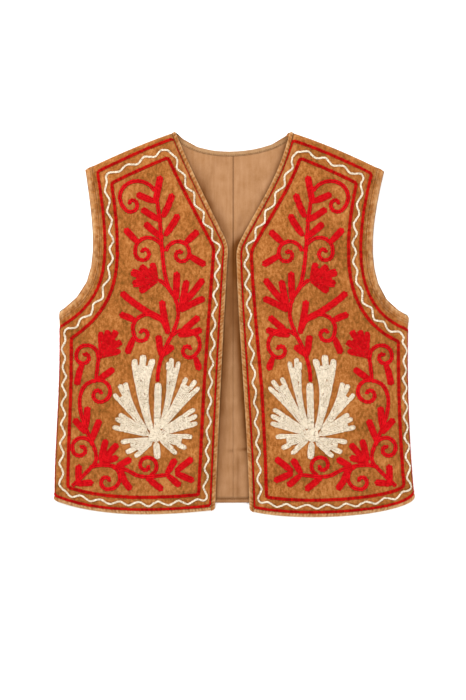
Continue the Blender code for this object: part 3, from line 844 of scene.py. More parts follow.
def mesh_piece(name, points, faces, material, mirror, values):
    """A mesh object from points and arrays of faces, with a value at each point for each name."""
    if mirror[0] < 0:
        faces = [block[:, ::-1] for block in faces]
    mesh = bpy.data.meshes.new(name)
    mesh.vertices.add(len(points))
    mesh.vertices.foreach_set("co", (points * mirror).astype(np.float32).ravel())
    sizes = np.concatenate([np.full(len(block), block.shape[1]) for block in faces])
    corners = np.concatenate([block.ravel() for block in faces])
    mesh.loops.add(len(corners))
    mesh.loops.foreach_set("vertex_index", corners.astype(np.int32))
    mesh.polygons.add(len(sizes))
    mesh.polygons.foreach_set("loop_start", (np.cumsum(sizes) - sizes).astype(np.int32))
    for key, numbers in values.items():
        layer = mesh.attributes.new(key, "FLOAT", "POINT")
        layer.data.foreach_set("value", np.asarray(numbers, np.float32).ravel())
    mesh.update(calc_edges=True)
    mesh.validate()
    mesh.shade_smooth()
    mesh.materials.append(material)
    piece = bpy.data.objects.new(name, mesh)
    bpy.context.scene.collection.objects.link(piece)
    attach(piece, "root")
    return piece


def quads(rows, columns, first=0):
    """Faces of a grid of points, facing up where columns run to the right of rows."""
    index = first + np.arange(rows * columns).reshape(rows, columns)
    corners = (index[:-1, :-1], index[:-1, 1:], index[1:, 1:], index[1:, :-1])
    return np.stack(corners, axis=-1).reshape(-1, 4)


def border(index):
    """The points round the edge of a grid, in order."""
    return [*index[0, :-1], *index[:-1, -1], *index[-1, :0:-1], *index[:0:-1, 0]]


def shell_faces(shape, kept_rows, kept_columns):
    """Faces of a closed shell whose underside has only the kept rows and columns of its face."""
    rows, columns = shape
    face = np.arange(rows * columns).reshape(rows, columns)
    below = face.size + np.arange(len(kept_rows) * len(kept_columns)).reshape(len(kept_rows), -1)
    faces = [quads(rows, columns), quads(*below.shape, face.size)[:, ::-1]]
    upper = border(face)
    position = {point: place for place, point in enumerate(upper)}
    lower = border(below)
    above = border(face[np.ix_(kept_rows, kept_columns)])
    for place, point in enumerate(lower):
        here, there = position[above[place]], position[above[(place + 1) % len(above)]]
        run = upper[here : there + 1] if there > here else upper[here:] + upper[: there + 1]
        faces.append(np.array([[*reversed(run), point, lower[(place + 1) % len(lower)]]]))
    return faces


def thinned(count, share):
    """Indices of the rows that an underside keeps, with both ends."""
    return np.unique(np.linspace(0, count - 1, max(2, count // share)).round().astype(int))


def yarn_mesh(rings, hands):
    """Points (along, across, up) and faces of yarn through these rings, once for each hand."""
    points, faces = [], []
    for hand in hands:
        first = len(points)
        for along, across, up, thickness in rings:
            for out, rise in ((1, 0), (0, 1), (-1, 0), (0, -1)):
                sideways = hand * across + out * thickness
                points.append((along, sideways, up + rise * thickness * YARN_FLATNESS))
        for ring in range(len(rings) - 1):
            for corner in range(4):
                here, there = first + 4 * ring + corner, first + 4 * ring + (corner + 1) % 4
                faces.append((here, there, there + 4, here + 4))
        last = first + 4 * (len(rings) - 1)
        faces.append(tuple(range(first + 3, first - 1, -1)))
        faces.append(tuple(range(last, last + 4)))
    return np.array(points), np.array(faces)


def middles(links):
    """The middle of each link."""
    return (links[:, 0:2] + links[:, 2:4]) / 2


def stitching(name, links, frames, shape, height, material, mirror):
    """A piece made of links: start x, y, end x, y and half width of each, all in one shape.

    frames gives places on the cloth and its normals there.
    """
    random = np.random.default_rng(len(links))
    half_width, middle = links[:, 4], middles(links)
    places, normals = frames(middle + random.normal(0, STITCH_SHIFT, middle.shape))
    run = level(links[:, 2:4] - links[:, 0:2], 0.0)
    length = np.linalg.norm(run, axis=1)
    run += np.cross(normals, run) * random.normal(0, STITCH_TURN, (len(links), 1))
    run -= (run * normals).sum(1, keepdims=True) * normals
    run /= np.linalg.norm(run, axis=1, keepdims=True)
    across = np.cross(normals, run)
    corners, faces = shape
    half_width = half_width * random.uniform(*STITCH_WIDTHS, len(links))
    height = height * random.uniform(*STITCH_HEIGHTS, len(links))
    local = (corners - (0.5, 0, 0))[None] * np.stack([length, half_width, height], axis=1)[:, None]
    axes = enumerate((run, across, normals))
    points = places[:, None] + sum(local[..., axis, None] * basis[:, None] for axis, basis in axes)
    tone = np.repeat(random.uniform(0, 1, len(links)), len(corners))
    all_faces = (faces[None] + len(corners) * np.arange(len(links))[:, None, None]).reshape(-1, 4)
    return mesh_piece(name, points.reshape(-1, 3), [all_faces], material, mirror, {"tone": tone})


# ---- Rows of chain stitch: arrays of links ----


def chain(path, half_width, link=LINK):
    """Links along a path. The half width is one number or a number at each even place."""
    count = max(2, round(lengths(path)[-1] / link))
    nodes = resampled(path, evenly(count + 1))
    widths = np.atleast_1d(half_width)
    widths = np.interp(evenly(count), evenly(len(widths)), widths)
    return np.column_stack([nodes[:-1], nodes[1:], widths])


def scroll_path(root_x, root_y, eye_x, eye_y, winding):
    """A scroll: it leaves its root in a wide arc, closes in, and coils up to its eye."""
    eye = np.array([eye_x, eye_y]) * MM
    away = np.array([root_x, root_y]) * MM - eye
    share = evenly(2 * CURVE_STEPS)
    closed = eased(abs(winding) * share / SCROLL_CLOSES)
    coil = SCROLL_COIL * (1 - EYE_SHRINKS * share**EYE_ONSET)
    radius = np.hypot(*away) * (1 - closed) + coil * closed
    return eye + round_about(radius, math.atan2(away[1], away[0]) + np.radians(winding * share))


def leaf_rows(tip_x, tip_y, base_x, base_y, bend):
    """Three rows of chain stitch that fill a leaf with a round tip and a narrower base."""
    tip, base = np.array([tip_x, tip_y]) * MM, np.array([base_x, base_y]) * MM
    way = (tip - base) / np.hypot(*(tip - base))
    handle = (tip + base) / 2 + 2 * bend * MM * np.array([-way[1], way[0]])
    axis = bezier((base, (base + 2 * handle) / 3, (tip + 2 * handle) / 3, tip))
    along = lengths(axis)
    left = along[-1] - along
    rounding = np.sqrt(1 - LEAF_TIP_CUT * np.clip(1 - left / LEAF_TIP, 0, 1) ** 2)
    full = (LEAF_BASE + (1 - LEAF_BASE) * eased(along / LEAF_SWELL)) * rounding
    inside = (along > LEAF_SIDE_ROWS[0]) & (left > LEAF_SIDE_ROWS[1])
    rows = [chain(axis, LEAF_ROW_HALF_WIDTH)]
    for hand in (-1, 1):
        rows.append(chain(moved(axis, hand * LEAF_ROW * full)[inside], LEAF_ROW_HALF_WIDTH))
    return rows


def petal_rows(root_x, root_y, stalk, flare, bend, row, tips, rounding, notch, start, stalk_start):
    """Rows of chain stitch side by side from near a petal's root out to its round lobes.

    A lobe has three rows, the notch between two lobes has as many as fit, and a row starts where
    there is room for it.
    """
    root, stalk, bend, row = np.array((root_x, root_y)) * MM, stalk * MM, bend * MM, row * MM
    ends = np.array(tips) * MM - root
    heading = math.atan2(*(ends[0] + ends[-1])[::-1])
    angles = (np.arctan2(ends[:, 1], ends[:, 0]) - heading + math.pi) % (2 * math.pi) - math.pi
    reaches = np.hypot(*ends.T)
    lobes = sorted(zip(angles * reaches, reaches))
    full, reach = np.abs(angles * reaches).max() + HALF_LOBE * row, (reaches[0] + reaches[-1]) / 2

    def spread(radius):
        return stalk * np.minimum(1, radius / stalk_start) + (full - stalk) * (radius / reach) ** flare

    # Share of the spread at which each row runs, its reach, and how far it leans at its end
    rays = []
    for across, radius in lobes:
        for hand in (-1, 0, 1):
            place = (across + hand * row) / spread(radius)
            rays.append((place, radius - abs(hand) * rounding, -LOBE_CLOSING_SHARE * hand * row))
    for (across, radius), (next_across, next_radius) in zip(lobes, lobes[1:]):
        low, high = (across + row) / spread(radius), (next_across - row) / spread(next_radius)
        notch_reach = min(radius, next_radius) - notch
        count = max(0, round((high - low) * spread(notch_reach) / row) - 1)
        rays += [(share, notch_reach, 0.0) for share in fractions((low, high), [count + 1])[1:-1]]
    share, reaches, lean = np.array(rays).T
    low_edge = (lobes[0][0] - HALF_LOBE * row) / spread(lobes[0][1])
    high_edge = (lobes[-1][0] + HALF_LOBE * row) / spread(lobes[-1][1])
    apart = np.abs(share[:, None] - share)
    steps = np.linspace(start, reaches.max(), SPREAD_STEPS)
    starts = np.full(len(share), start)
    placed = [1]
    for _ in share[1:]:
        room = apart[:, placed].min(1)
        ray = int(room.argmax())
        starts[ray] = np.interp(CLOSEST_ROWS, room[ray] * spread(steps), steps)
        placed.append(ray)
    kernel = np.ones(FAN_SMOOTHING) / FAN_SMOOTHING
    rows = []
    for ray in np.flatnonzero(starts < reaches - SHORTEST_ROW):
        radii = np.linspace(starts[ray], reaches[ray], FAN_STEPS)
        started = starts <= radii[:, None]
        below = np.where(started & (share < share[ray]), (share + share[ray]) / 2, low_edge).max(1)
        above = np.where(started & (share > share[ray]), (share + share[ray]) / 2, high_edge).min(1)
        sides = (np.pad(side, FAN_SMOOTHING // 2, "edge") for side in (below, above))
        below, above = (np.convolve(side, kernel, "valid") for side in sides)
        closing = lean[ray] * eased(1 - (reaches[ray] - radii) / LOBE_CLOSING)
        bow = 4 * bend * (radii / reach) * np.maximum(0, 1 - radii / reach)
        turn = heading + ((above + below) / 2 * spread(radii) + closing + bow) / radii
        path = root + round_about(radii, turn)
        half_width = (above - below) / 2 * spread(radii)
        rows.append(chain(path, FILL_OVERLAP * np.clip(half_width, *FILL_HALF_WIDTHS), FILL_LINK))
    return rows


def palmette_rows():
    """Rows that fill the palmette, and its round hub."""
    x, y, hub_radius = np.array(PALMETTE_HUB) * MM
    radius = np.linspace(HUB_START, hub_radius, HUB_STEPS)
    spiral = (x, y) + round_about(radius, np.linspace(0, 2 * math.pi * HUB_TURNS, HUB_STEPS))
    rows = [chain(spiral, HUB_HALF_WIDTH, FILL_LINK)]
    for petal in PALMETTE_PETALS:
        rows += petal_rows(*petal, *PALMETTE_SHAPE)
    return rows


def vine_rows():
    """Rows of the red vine: stems, scrolls, leaves and tulips."""
    paths = [bezier(np.array(stem) * MM) for stem in STEMS]
    paths += [scroll_path(*scroll) for scroll in SCROLLS]
    rows = [chain(path, STEM_HALF_WIDTH) for path in paths]
    for leaf in LEAVES:
        rows += leaf_rows(*leaf)
    for petal in TULIP_PETALS:
        rows += petal_rows(*petal, *TULIP_SHAPE)
    return rows


def wave_path(front):
    """The cream wave that runs between the two red lines."""
    middle = smoothed(front.ring(BORDERS[front.side]["wave"]), WAVE_CORNER, closed=True)
    middle = resampled(middle, evenly(WAVE_POINTS))
    along = lengths(middle)
    waves = round(along[-1] / WAVE_PERIOD)
    turn = 2 * math.pi * waves * along / along[-1] + uneven(middle, WAVE_DRIFT)
    wave = (1 + uneven(middle, WAVE_SWELL)) * np.sin(turn) - WAVE_OVERTONE * np.sin(3 * turn)
    return moved(middle, WAVE_HEIGHT * (wave + uneven(middle, WAVE_WOBBLE)))


def outer_line(front):
    """The outer red line, finer along a binding, whose edge covers a part of it beside the neck."""
    insets = BORDERS[front.side]["outer"]
    runs = front.outline(insets)
    ends = np.cumsum([lengths(runs[name])[-1] for name in OUTER_LINE])
    stations = evenly(OUTER_LINE_STATIONS)
    place = np.searchsorted(ends / ends[-1], LAST_STATION * stations)
    half_widths = np.array(list(OUTER_LINE.values()))[place]
    ring = front.ring(insets)
    up = resampled(np.concatenate([ring, ring[:1]]), stations)[:, 1]
    shows = np.interp(up, *np.array(NECK_LINE_SHOWS[front.side]).T)
    half_widths = np.where(place == len(ends) - 1, shows, 1) * half_widths
    return chain(smoothed(ring, BORDER_CORNER, closed=True), half_widths)


# ---- Materials ----


def linear(red, green, blue):
    """A surface that looks this colour in the studio's light, given as eight-bit sRGB."""
    shares = np.array([red, green, blue]) / 255
    linear_shares = np.where(shares <= 0.04045, shares / 12.92, ((shares + 0.055) / 1.055) ** 2.4)
    return (*linear_shares / LIGHT_LEVEL, 1.0)


def node(tree, kind, inputs=None, **settings):
    """A node with its settings, and its inputs set to a value or linked from a socket."""
    made = tree.nodes.new(kind)
    for key, value in settings.items():
        setattr(made, key, value)
    for key, value in (inputs or {}).items():
        if isinstance(value, bpy.types.NodeSocket):
            tree.links.new(value, made.inputs[key])
        else:
            made.inputs[key].default_value = value
    return made


def place_on(tree, **mapping):
    """Places on the object, stretched or turned."""
    place = node(tree, "ShaderNodeTexCoord").outputs["Object"]
    return node(tree, "ShaderNodeMapping", {"Vector": place, **mapping}).outputs[0] if mapping else place


def noise(tree, size, detail=2.0, roughness=0.5, place=None):
    """Noise whose features are about this size, in metres."""
    inputs = {"Vector": place or place_on(tree), "Scale": 1 / size, "Detail": detail, "Roughness": roughness}
    return node(tree, "ShaderNodeTexNoise", inputs).outputs["Fac"]


def weighted(tree, offset, *terms):
    """The offset plus each socket times its weight."""
    total = offset
    for socket, weight in terms:
        inputs = {0: socket, 1: weight, 2: total}
        total = node(tree, "ShaderNodeMath", inputs, operation="MULTIPLY_ADD").outputs[0]
    return total


def ramp(tree, factor, places, colours):
    """Colours that blend from place to place."""
    made = node(tree, "ShaderNodeValToRGB", {"Fac": factor})
    elements = made.color_ramp.elements
    while len(elements) < len(places):
        elements.new(1.0)
    for element, place, colour in zip(elements, places, colours):
        element.position = place
        element.color = colour
    return made.outputs["Color"]


def mixed(tree, factor, first, second, blend="MIX"):
    """The second colour over the first, by the factor."""
    inputs = {0: factor, 6: first, 7: second}
    return node(tree, "ShaderNodeMix", inputs, data_type="RGBA", blend_type=blend).outputs[2]


def value_of(tree, name):
    """The number stored at each point of the mesh under this name."""
    return node(tree, "ShaderNodeAttribute", attribute_name=name).outputs["Fac"]


def shaded(tree, colour):
    """The colour under the warm shadow stored at each point."""
    shade = value_of(tree, "shade")
    shares = {key: weighted(tree, 1.0, (shade, -depth)) for key, depth in enumerate(SHADE_DEPTHS)}
    return mixed(tree, 1.0, colour, node(tree, "ShaderNodeCombineColor", shares).outputs[0], "MULTIPLY")


def bump(tree, height, depth):
    inputs = {"Height": height, "Strength": 1.0, "Distance": depth}
    return node(tree, "ShaderNodeBump", inputs).outputs["Normal"]


def cloth_material(name, paint, roughness, sheen=None):
    """A material whose paint function returns (colour, normal) sockets."""
    made = bpy.data.materials.new(name)
    made.use_nodes = True
    shader = made.node_tree.nodes["Principled BSDF"]
    colour, normal = paint(made.node_tree)
    made.node_tree.links.new(colour, shader.inputs["Base Color"])
    made.node_tree.links.new(normal, shader.inputs["Normal"])
    for key, value in {"Roughness": roughness, "Specular IOR Level": MATT, **(sheen or {})}.items():
        shader.inputs[key].default_value = value
    return made


def velvet_paint(*colours):
    """Mottled velvet: blotches of crushed pile, fine nap, and paler places of wear and of painted highlight.
    """

    def paint(tree):
        *tones, wear_and_highlight = (linear(*colour) for colour in colours)
        blotches, nap = noise(tree, *BLOTCHES), noise(tree, *NAP)
        patches = noise(tree, *PATCHES, place_on(tree, Scale=PILE_STRETCH))
        share = weighted(tree, PILE_DARKER, *zip((patches, blotches, nap), PILE_TONE))
        colour = ramp(tree, share, PILE_STOPS, tones)
        offset, weight = PILE_PALING
        paling = weighted(tree, 0.0, (value_of(tree, "wear_and_highlight"), weighted(tree, offset, (patches, weight))))
        height = weighted(tree, 0.0, *zip((patches, nap), PILE_RELIEF))
        return shaded(tree, mixed(tree, paling, colour, wear_and_highlight)), bump(tree, height, PILE_DEPTH)

    return paint


def twill_paint(colour, light, rib_size, depth):
    """Woven cloth with diagonal ribs and slightly uneven colour."""

    def paint(tree):
        turned = place_on(tree, Rotation=(0, 0, math.radians(TWILL_ANGLE)))
        scale = 1 / (TWILL_WAVES * rib_size)
        inputs = {"Vector": turned, "Scale": scale, **TWILL_RIBS}
        ribs = node(tree, "ShaderNodeTexWave", inputs).outputs["Fac"]
        streaks = noise(tree, *STREAKS, place_on(tree, Scale=STREAK_STRETCH))
        cloud, thread = noise(tree, *CLOUDS), noise(tree, *THREADS)
        share = weighted(tree, 0.0, *zip((cloud, thread, streaks), TWILL_TONE))
        base = ramp(tree, share, TWILL_STOPS, (linear(*colour), linear(*light)))
        height = weighted(tree, 0.0, *zip((ribs, thread), TWILL_RELIEF))
        return shaded(tree, base), bump(tree, height, depth)

    return paint


def thread_paint(dark, light, evenness=0.0, specks=None):
    """Dense yarn: each link a slightly different tone, with fine fibres and specks of shadow."""

    def paint(tree):
        fibres, paling = noise(tree, *FIBRES), noise(tree, *YARN_WEAR)
        tone = (value_of(tree, "tone"), YARN_TONE * (1 - evenness))
        share = weighted(tree, YARN_TONE / 2 * evenness, (paling, YARN_WORN), tone, (fibres, FIBRE_TONE))
        colour = ramp(tree, share, YARN_STOPS, (linear(*dark), linear(*light)))
        if specks:
            spots = ramp(tree, noise(tree, *SPECKS), SPECK_STOPS, ((0, 0, 0, 1), (1, 1, 1, 1)))
            colour = mixed(tree, spots, colour, linear(*specks))
        return colour, bump(tree, fibres, FIBRE_DEPTH)

    return paint


def make_materials():
    """A material for each cloth and yarn."""
    sheen = {"Sheen Weight": 0.20, "Sheen Roughness": 0.35, "Sheen Tint": linear(255, 206, 150)}
    velvet = velvet_paint((128, 80, 26), (190, 113, 50), (232, 156, 88), (232, 160, 94))
    # The band's last colour is the pale of its wear and of the painted highlight on its puckers' tops
    band = velvet_paint((150, 84, 30), (196, 122, 60), (228, 158, 92), (252, 206, 150))
    cream = thread_paint((266, 242, 208), (318, 302, 274), 0.45, (166, 144, 110))
    # name of the material, paint, roughness, sheen
    rows = {
        "velvet": ("velvet", velvet, 0.9, sheen),
        "band": ("band_velvet", band, 0.9, sheen),
        "lining": ("lining_twill", twill_paint((184, 128, 78), (220, 166, 120), 0.0012, 0.0002), 0.8),
        "facing": ("facing_tape", twill_paint((190, 138, 88), (222, 176, 130), 0.0010, 0.0003), 0.85),
        "red": ("red_wool", thread_paint((214, 0, 8), (270, 26, 36), 0.4), 0.9),
        "red_border": ("red_border_wool", thread_paint((196, 4, 6), (240, 25, 16)), 0.9),
        "cream": ("cream_wool", cream, 0.9),
        "sewing": ("sewing_thread", thread_paint((100, 58, 26), (140, 88, 46)), 0.8),
    }
    return {key: cloth_material(*row) for key, row in rows.items()}


# ---- Cloth ----


def nearest_stitch(points, places):
    """Distance from each point to the nearest stitch."""
    tree = kdtree.KDTree(len(places))
    for index, (x, y) in enumerate(places):
        tree.insert((x, y, 0), index)
    tree.balance()
    flat = points.reshape(-1, 2)
    return np.array([tree.find((x, y, 0))[2] for x, y in flat]).reshape(points.shape[:-1])


def shell(name, face, below, kept, material, mirror, wear_and_highlight=0.0, shade=0.0, under=0):
    """A closed shell between a grid of points and the kept rows and columns of its underside.

    The underside has the face's wear and painted highlight, and its shade, times under.
    """
    values = {}
    for key, value in (("wear_and_highlight", wear_and_highlight), ("shade", shade)):
        value = np.broadcast_to(value, face.shape[:2])
        values[key] = np.concatenate([value.ravel(), under * value[np.ix_(*kept)].ravel()])
    points = np.concatenate([face.reshape(-1, 3), below.reshape(-1, 3)])
    return mesh_piece(name, points, shell_faces(face.shape[:2], *kept), material, mirror, values)


def enclosed(path):
    """Area inside a closed path."""
    x, y = path.T
    return abs((x * np.roll(y, -1) - y * np.roll(x, -1)).sum()) / 2


def declare(piece, node_name, width, length, area, rests_on):
    """The piece stands for its CAD node, which is hidden; the width, length, area and rests_on are not used.
    """
    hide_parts(node_name)
    width = max(width, NARROWEST_CUT)
    return piece


def velvet_panel(front, stitches, material):
    """The velvet front inside its bands, pressed down along its stitches and rolled at its seams."""
    edges = front.panel
    places = patch(
        edges["hem"], edges["shoulder"], edges["opening"], edges["outer"], front.across, front.upward
    )
    away = nearest_stitch(places, stitches)
    pressed = bell(away / SINK_REACH)
    puffed = bell(away / SINK_REACH - PUFF_DISTANCE)
    face = front.layer(places, SINK_DEPTH * (PUFF * puffed - pressed))
    kept = [thinned(count, UNDERSIDE_SHARE) for count in places.shape[:2]]
    below = front.layer(places[np.ix_(*kept)], -FRONT_THICKNESS)
    rim = np.minimum(*[front.depth(places, name) for name in SEWN_EDGES])
    at_neck = eased(NECK_WEAR_EDGE - front.depth(places, "opening") / NECK_WEAR_REACH)
    at_neck = at_neck * eased((places[..., 1] - NECK_WEAR_BEGINS) / NECK_WEAR_GROWS)
    wear_and_highlight = SEAM_WEAR * (1 - eased(rim / SEAM_WEAR_REACH)) + NECK_WEAR * at_neck
    name = f"{front.side}_velvet_panel"
    # Darker where the stitches press it down: crushed pile and painted shade
    panel = shell(name, face, below, kept, material, front.mirror, wear_and_highlight, PRESSED_SHADE * pressed)
    outline = [edges["hem"], edges["outer"], edges["shoulder"][::-1], edges["opening"][::-1]]
    return declare(panel, f"{front.side}_front", *PANEL_CUT, enclosed(np.concatenate(outline)), "back")


def band_lines(front, name, insets):
    """Lines along a band's edge at these insets, cut by the band's ends, so that the face is up."""
    band = BANDS[name]
    cutters = [front.line(end) for end in band.ends]
    if name == "hem_binding":
        cutters[0] = front.line("opening", FRONT_BINDING + SEAM_GAP)
    lines = [between(front.line(band.edge, inset), *cutters) for inset in insets]
    return [line[::-1] for line in lines] if band.edge == "opening" else lines


def band_cloth(front, name, material):
    """A folded band along a free edge, puckered between its stitches."""
    band = BANDS[name]
    seam, rim = band_lines(front, name, (band.width, 0.0))
    length = lengths(rim)[-1]
    stations = evenly(int(length / BAND_STEP))
    share = (1 - np.cos(np.linspace(0, math.pi, BAND_COLUMNS))) / 2
    inner, outer = resampled(seam, stations)[:, None], resampled(rim, stations)[:, None]
    along = stations[:, None] * length

    def at_corner(reach):
        """The front binding turns the lower corner: it is round there, and runs on into the hem's."""
        return np.clip(1 - (length - along) / reach, 0, 1) * (name == "front_binding")

    rounding = 1 - np.sqrt(1 - at_corner(CORNER_ROUND) ** 2)
    outer = outer + (inner - outer) * (CORNER_ROUND / band.width * rounding)[..., None]
    places = inner * (1 - share[:, None]) + outer * share[:, None]
    track = np.concatenate([along, 0 * along], axis=1)
    drift, strength = (
        amount * hills(track + start, size * band.pitch, seed)[:, None]
        for start, (amount, size, seed) in enumerate((PUCKER_DRIFT, PUCKER_STRENGTH))
    )
    drift, strength = band.pitch * drift, 1 - PUCKER_STRENGTH[0] + strength
    amount, rate = SECOND_WAVE
    waves = np.sin(2 * math.pi * (along + drift + band.slant * band.pitch * share) / band.pitch)
    waves = waves + amount * np.sin(2 * math.pi * (rate * along - drift) / band.pitch) * share
    arch = np.sin(math.pi * np.clip(share, ARCH_ENDS, 1 - ARCH_ENDS)) ** ARCH_POWER
    corner = at_corner(CORNER_FLAT * band.width)
    arch = arch + (1 - arch) * (1 - share**RIM_POWER) * eased(CORNER_ARCH * corner)
    inset = band.width * (1 - share)
    groove = sum(bell((inset - line) / GROOVE_HALF_WIDTH) for line in band.stitch_lines)
    groove = groove * (1 - eased(CORNER_GROOVE * corner))
    pucker = band.pucker * strength * waves * arch
    lift = BAND_LIFT * (arch - RIM_ROLL * share**RIM_POWER) + pucker
    face = front.layer(places, lift - GROOVE_DEPTH * groove)
    kept = thinned(len(stations), BAND_UNDERSIDE_SHARE), thinned(BAND_COLUMNS, BAND_UNDERSIDE_SHARE)
    depth = np.broadcast_to(RIM_DROP * share**RIM_POWER - FRONT_THICKNESS, lift.shape)
    below = front.layer(places[np.ix_(*kept)], depth[np.ix_(*kept)])
    notches = band.pucker * np.maximum(0, -waves) ** 2 * strength * arch * (1 - share**2)
    mottle = uneven(np.stack(np.broadcast_arrays(along, inset), axis=-1), MOTTLE_HILLS)
    # Paler with wear, mottle and the rim, and with a painted highlight on the puckers' tops
    wear_and_highlight = np.clip(band.paleness + TOP_HIGHLIGHT * pucker + mottle + PALE_RIM * share**3, 0, PALEST_BAND)
    # Painted shade in the stitch grooves, at the seam and in the puckers' troughs
    at_seam = SEAM_SHADE * (1 - share) ** RIM_POWER * (1 - corner)
    shade = np.clip(GROOVE_SHADE * groove + at_seam + PUCKER_SHADE * notches, 0, 1)
    cloth_name, area = f"{front.side}_{name}_cloth", band.width * length
    piece = shell(cloth_name, face, below, kept, material, front.mirror, wear_and_highlight, shade, under=1)
    return declare(piece, f"{front.side}_{name}", band.width, length, area, "back")


def flat_shell(name, places, height, low, material, mirror=(1, 1, 1), shade=0.0):
    """A closed sheet between its face and a flat underside."""
    kept = [thinned(count, UNDERSIDE_SHARE) for count in places.shape[:2]]
    below = level(places[np.ix_(*kept)], low)
    return shell(name, level(places, height), below, kept, material, mirror, shade=shade)


def back_edges(fronts):
    """Hem, sides with armholes, and top of the back, across the whole garment."""
    halves = {}
    for side, front in fronts.items():
        armhole = front.line("armhole", -BACK_SHOWS_AT_ARMHOLE)
        shoulder = front.line("shoulder")
        outer = joined(
            between(front.line("side"), front.line("hem"), armhole),
            between(armhole, front.line("side"), shoulder),
        )
        halves[side] = (outer, between(shoulder, front.line("opening"), armhole))
    top = joined(joined(flipped(halves["right"][1]), bezier(BACK_NECKLINE)), halves["left"][1])
    return bezier(BACK_HEM), top, halves["right"][0] * (-1, 1), halves["left"][0]


def back_velvet(fronts, material):
    """The velvet back, flat on the surface with its pile down."""
    bottom, top, right, left = back_edges(fronts)
    even = evenly(BACK_STEPS)
    places = patch(bottom, top, right, left, even, even)
    piece = flat_shell("back_velvet", places, BACK_THICKNESS, 0.0, material)
    outline = np.concatenate([bottom, left, top[::-1], right[::-1]])
    return declare(piece, "back", *BACK_CUT, enclosed(outline), "surface")


def inside_lines(front):
    """Seam lines of the lining on one side of the back, drawn at +X."""
    neckline, hem = bezier(BACK_NECKLINE), bezier(BACK_HEM)
    seam = CENTRE_SEAM_X * front.mirror[0]
    pressed, opened = seam + PRESSED_SEAM_GAP / 2, seam + SEAM_GAP / 2
    low, high = SEAM_SHOWS
    if front.side == "right":
        neckline, hem = flipped(neckline), flipped(hem)
    return {
        "centre": np.array([(pressed, -BEYOND), (pressed, low), (opened, high), (opened, BEYOND)]),
        "neckline": extended(moved(neckline, -NECK_FACING - SEAM_GAP)),
        "hem": extended(moved(hem, HEM_FACING + SEAM_GAP)),
        "side": front.line("side", LINING_INSET),
        "armhole": front.line("armhole", LINING_INSET),
        "shoulder": front.line("shoulder", LINING_INSET),
    }


def front_shadow(fronts, garment):
    """Shadow of the fronts on the lining, deepest at their edges."""
    total = 0.0
    for side, front in fronts.items():
        up, strength, reach = np.array(LINING_SHADOWS[side]).T
        outside = np.maximum(0, -front.depth(garment * front.mirror[:2], "opening"))
        fall = bell(outside / np.interp(garment[..., 1], up, reach))
        total = total + np.interp(garment[..., 1], up, strength) * fall
    return total


def lining_half(front, fronts, material):
    """One half of the back's lining, from the centre seam to the side."""
    edges = cut(inside_lines(front), LINING_CORNERS)
    top = joined(edges["neckline"], edges["shoulder"])
    outer = joined(edges["side"], edges["armhole"])
    across = fractions((0, lengths(edges["neckline"])[-1] / lengths(top)[-1], 1), LINING_COLUMNS)
    upward = fractions((0, lengths(edges["side"])[-1] / lengths(outer)[-1], 1), LINING_ROWS)
    places = patch(edges["hem"], top, edges["centre"], outer, across, upward)
    garment = places * front.mirror[:2]
    seam_away = places[..., 0] - edges["centre"][0, 0]
    seam_shows = eased((places[..., 1] - SEAM_SHOWS[0]) / (SEAM_SHOWS[1] - SEAM_SHOWS[0]))
    sunk, seam_shade = (
        amount * seam_shows * bell(seam_away / reach)
        for amount, reach in (SEAM_SINK, SEAM_SHADE_LINE)
    )
    creases = folds(garment, LINING_CREASES)
    height = LINING_TOP + folds(garment, LINING_FOLDS) + uneven(garment, LINING_HILLS)
    height = height - sunk - CREASE_DEPTH * creases
    start, reach = LINING_LOW
    low = LINING_LOW_SHADE * (1 - eased((places[..., 1] - start) / reach))
    # Painted shade: the fronts' shadow, darker towards the bottom, in the creases, and in uneven clouds
    shade = front_shadow(fronts, garment) + low + creases + uneven(garment, LINING_CLOUDS)
    shade = np.clip(shade + seam_shade, 0, DEEPEST_SHADE)
    name = f"lining_{front.side}"
    piece = flat_shell(
        f"{name}_cloth", places, height, INSIDE_LEVEL, material, front.mirror, shade
    )
    width, length = lengths(edges["hem"])[-1], lengths(edges["centre"])[-1]
    outline = np.concatenate([edges["hem"], outer, top[::-1], edges["centre"][::-1]])
    return declare(piece, name, width, LINING_CUT_SHARE * length, enclosed(outline), "back")


def facing(name, cloth_name, edge, width, cutters, material, slot, darkness):
    """A strip along an edge of the back's inside, slightly puckered by its stitches."""
    rim, seam = (between(extended(moved(edge, inset)), *cutters) for inset in (0.0, width))
    if width < 0:
        rim, seam = seam, rim
    length = lengths(rim)[-1]
    stations = evenly(int(length / BAND_STEP))
    share = evenly(FACING_COLUMNS)[:, None, None]
    places = (1 - share) * resampled(rim, stations) + share * resampled(seam, stations)
    share = share[..., 0]
    inside = share if width < 0 else 1 - share
    along = stations[None] * length
    pucker, pitch = FACING_PUCKER
    drift = uneven(places, FACING_PUCKER_DRIFT)
    pucker = pucker * np.sin(2 * math.pi * along / pitch + drift) * (1 - inside)
    depth, place, half_width = FACING_GROOVE
    groove = depth * bell((inside - place) / half_width)
    height = LINING_TOP + pucker - groove + FACING_LIFT * np.sin(math.pi * share)
    near_end = np.minimum(along, length - along)
    amount, reach = FACING_RIM_SHADE
    shade = darkness + amount * bell(inside / reach)
    amount, power = FACING_SEAM_SHADE
    shade = shade + amount * darkness * (1 - inside) ** power
    shade = np.clip(shade + FACING_END_SHADE * (1 - eased(near_end / FACING_END)), 0, 1)
    piece = flat_shell(cloth_name, places, height, INSIDE_LEVEL, material, shade=shade)
    return declare(piece, name, abs(width), length, abs(width) * length, "back")


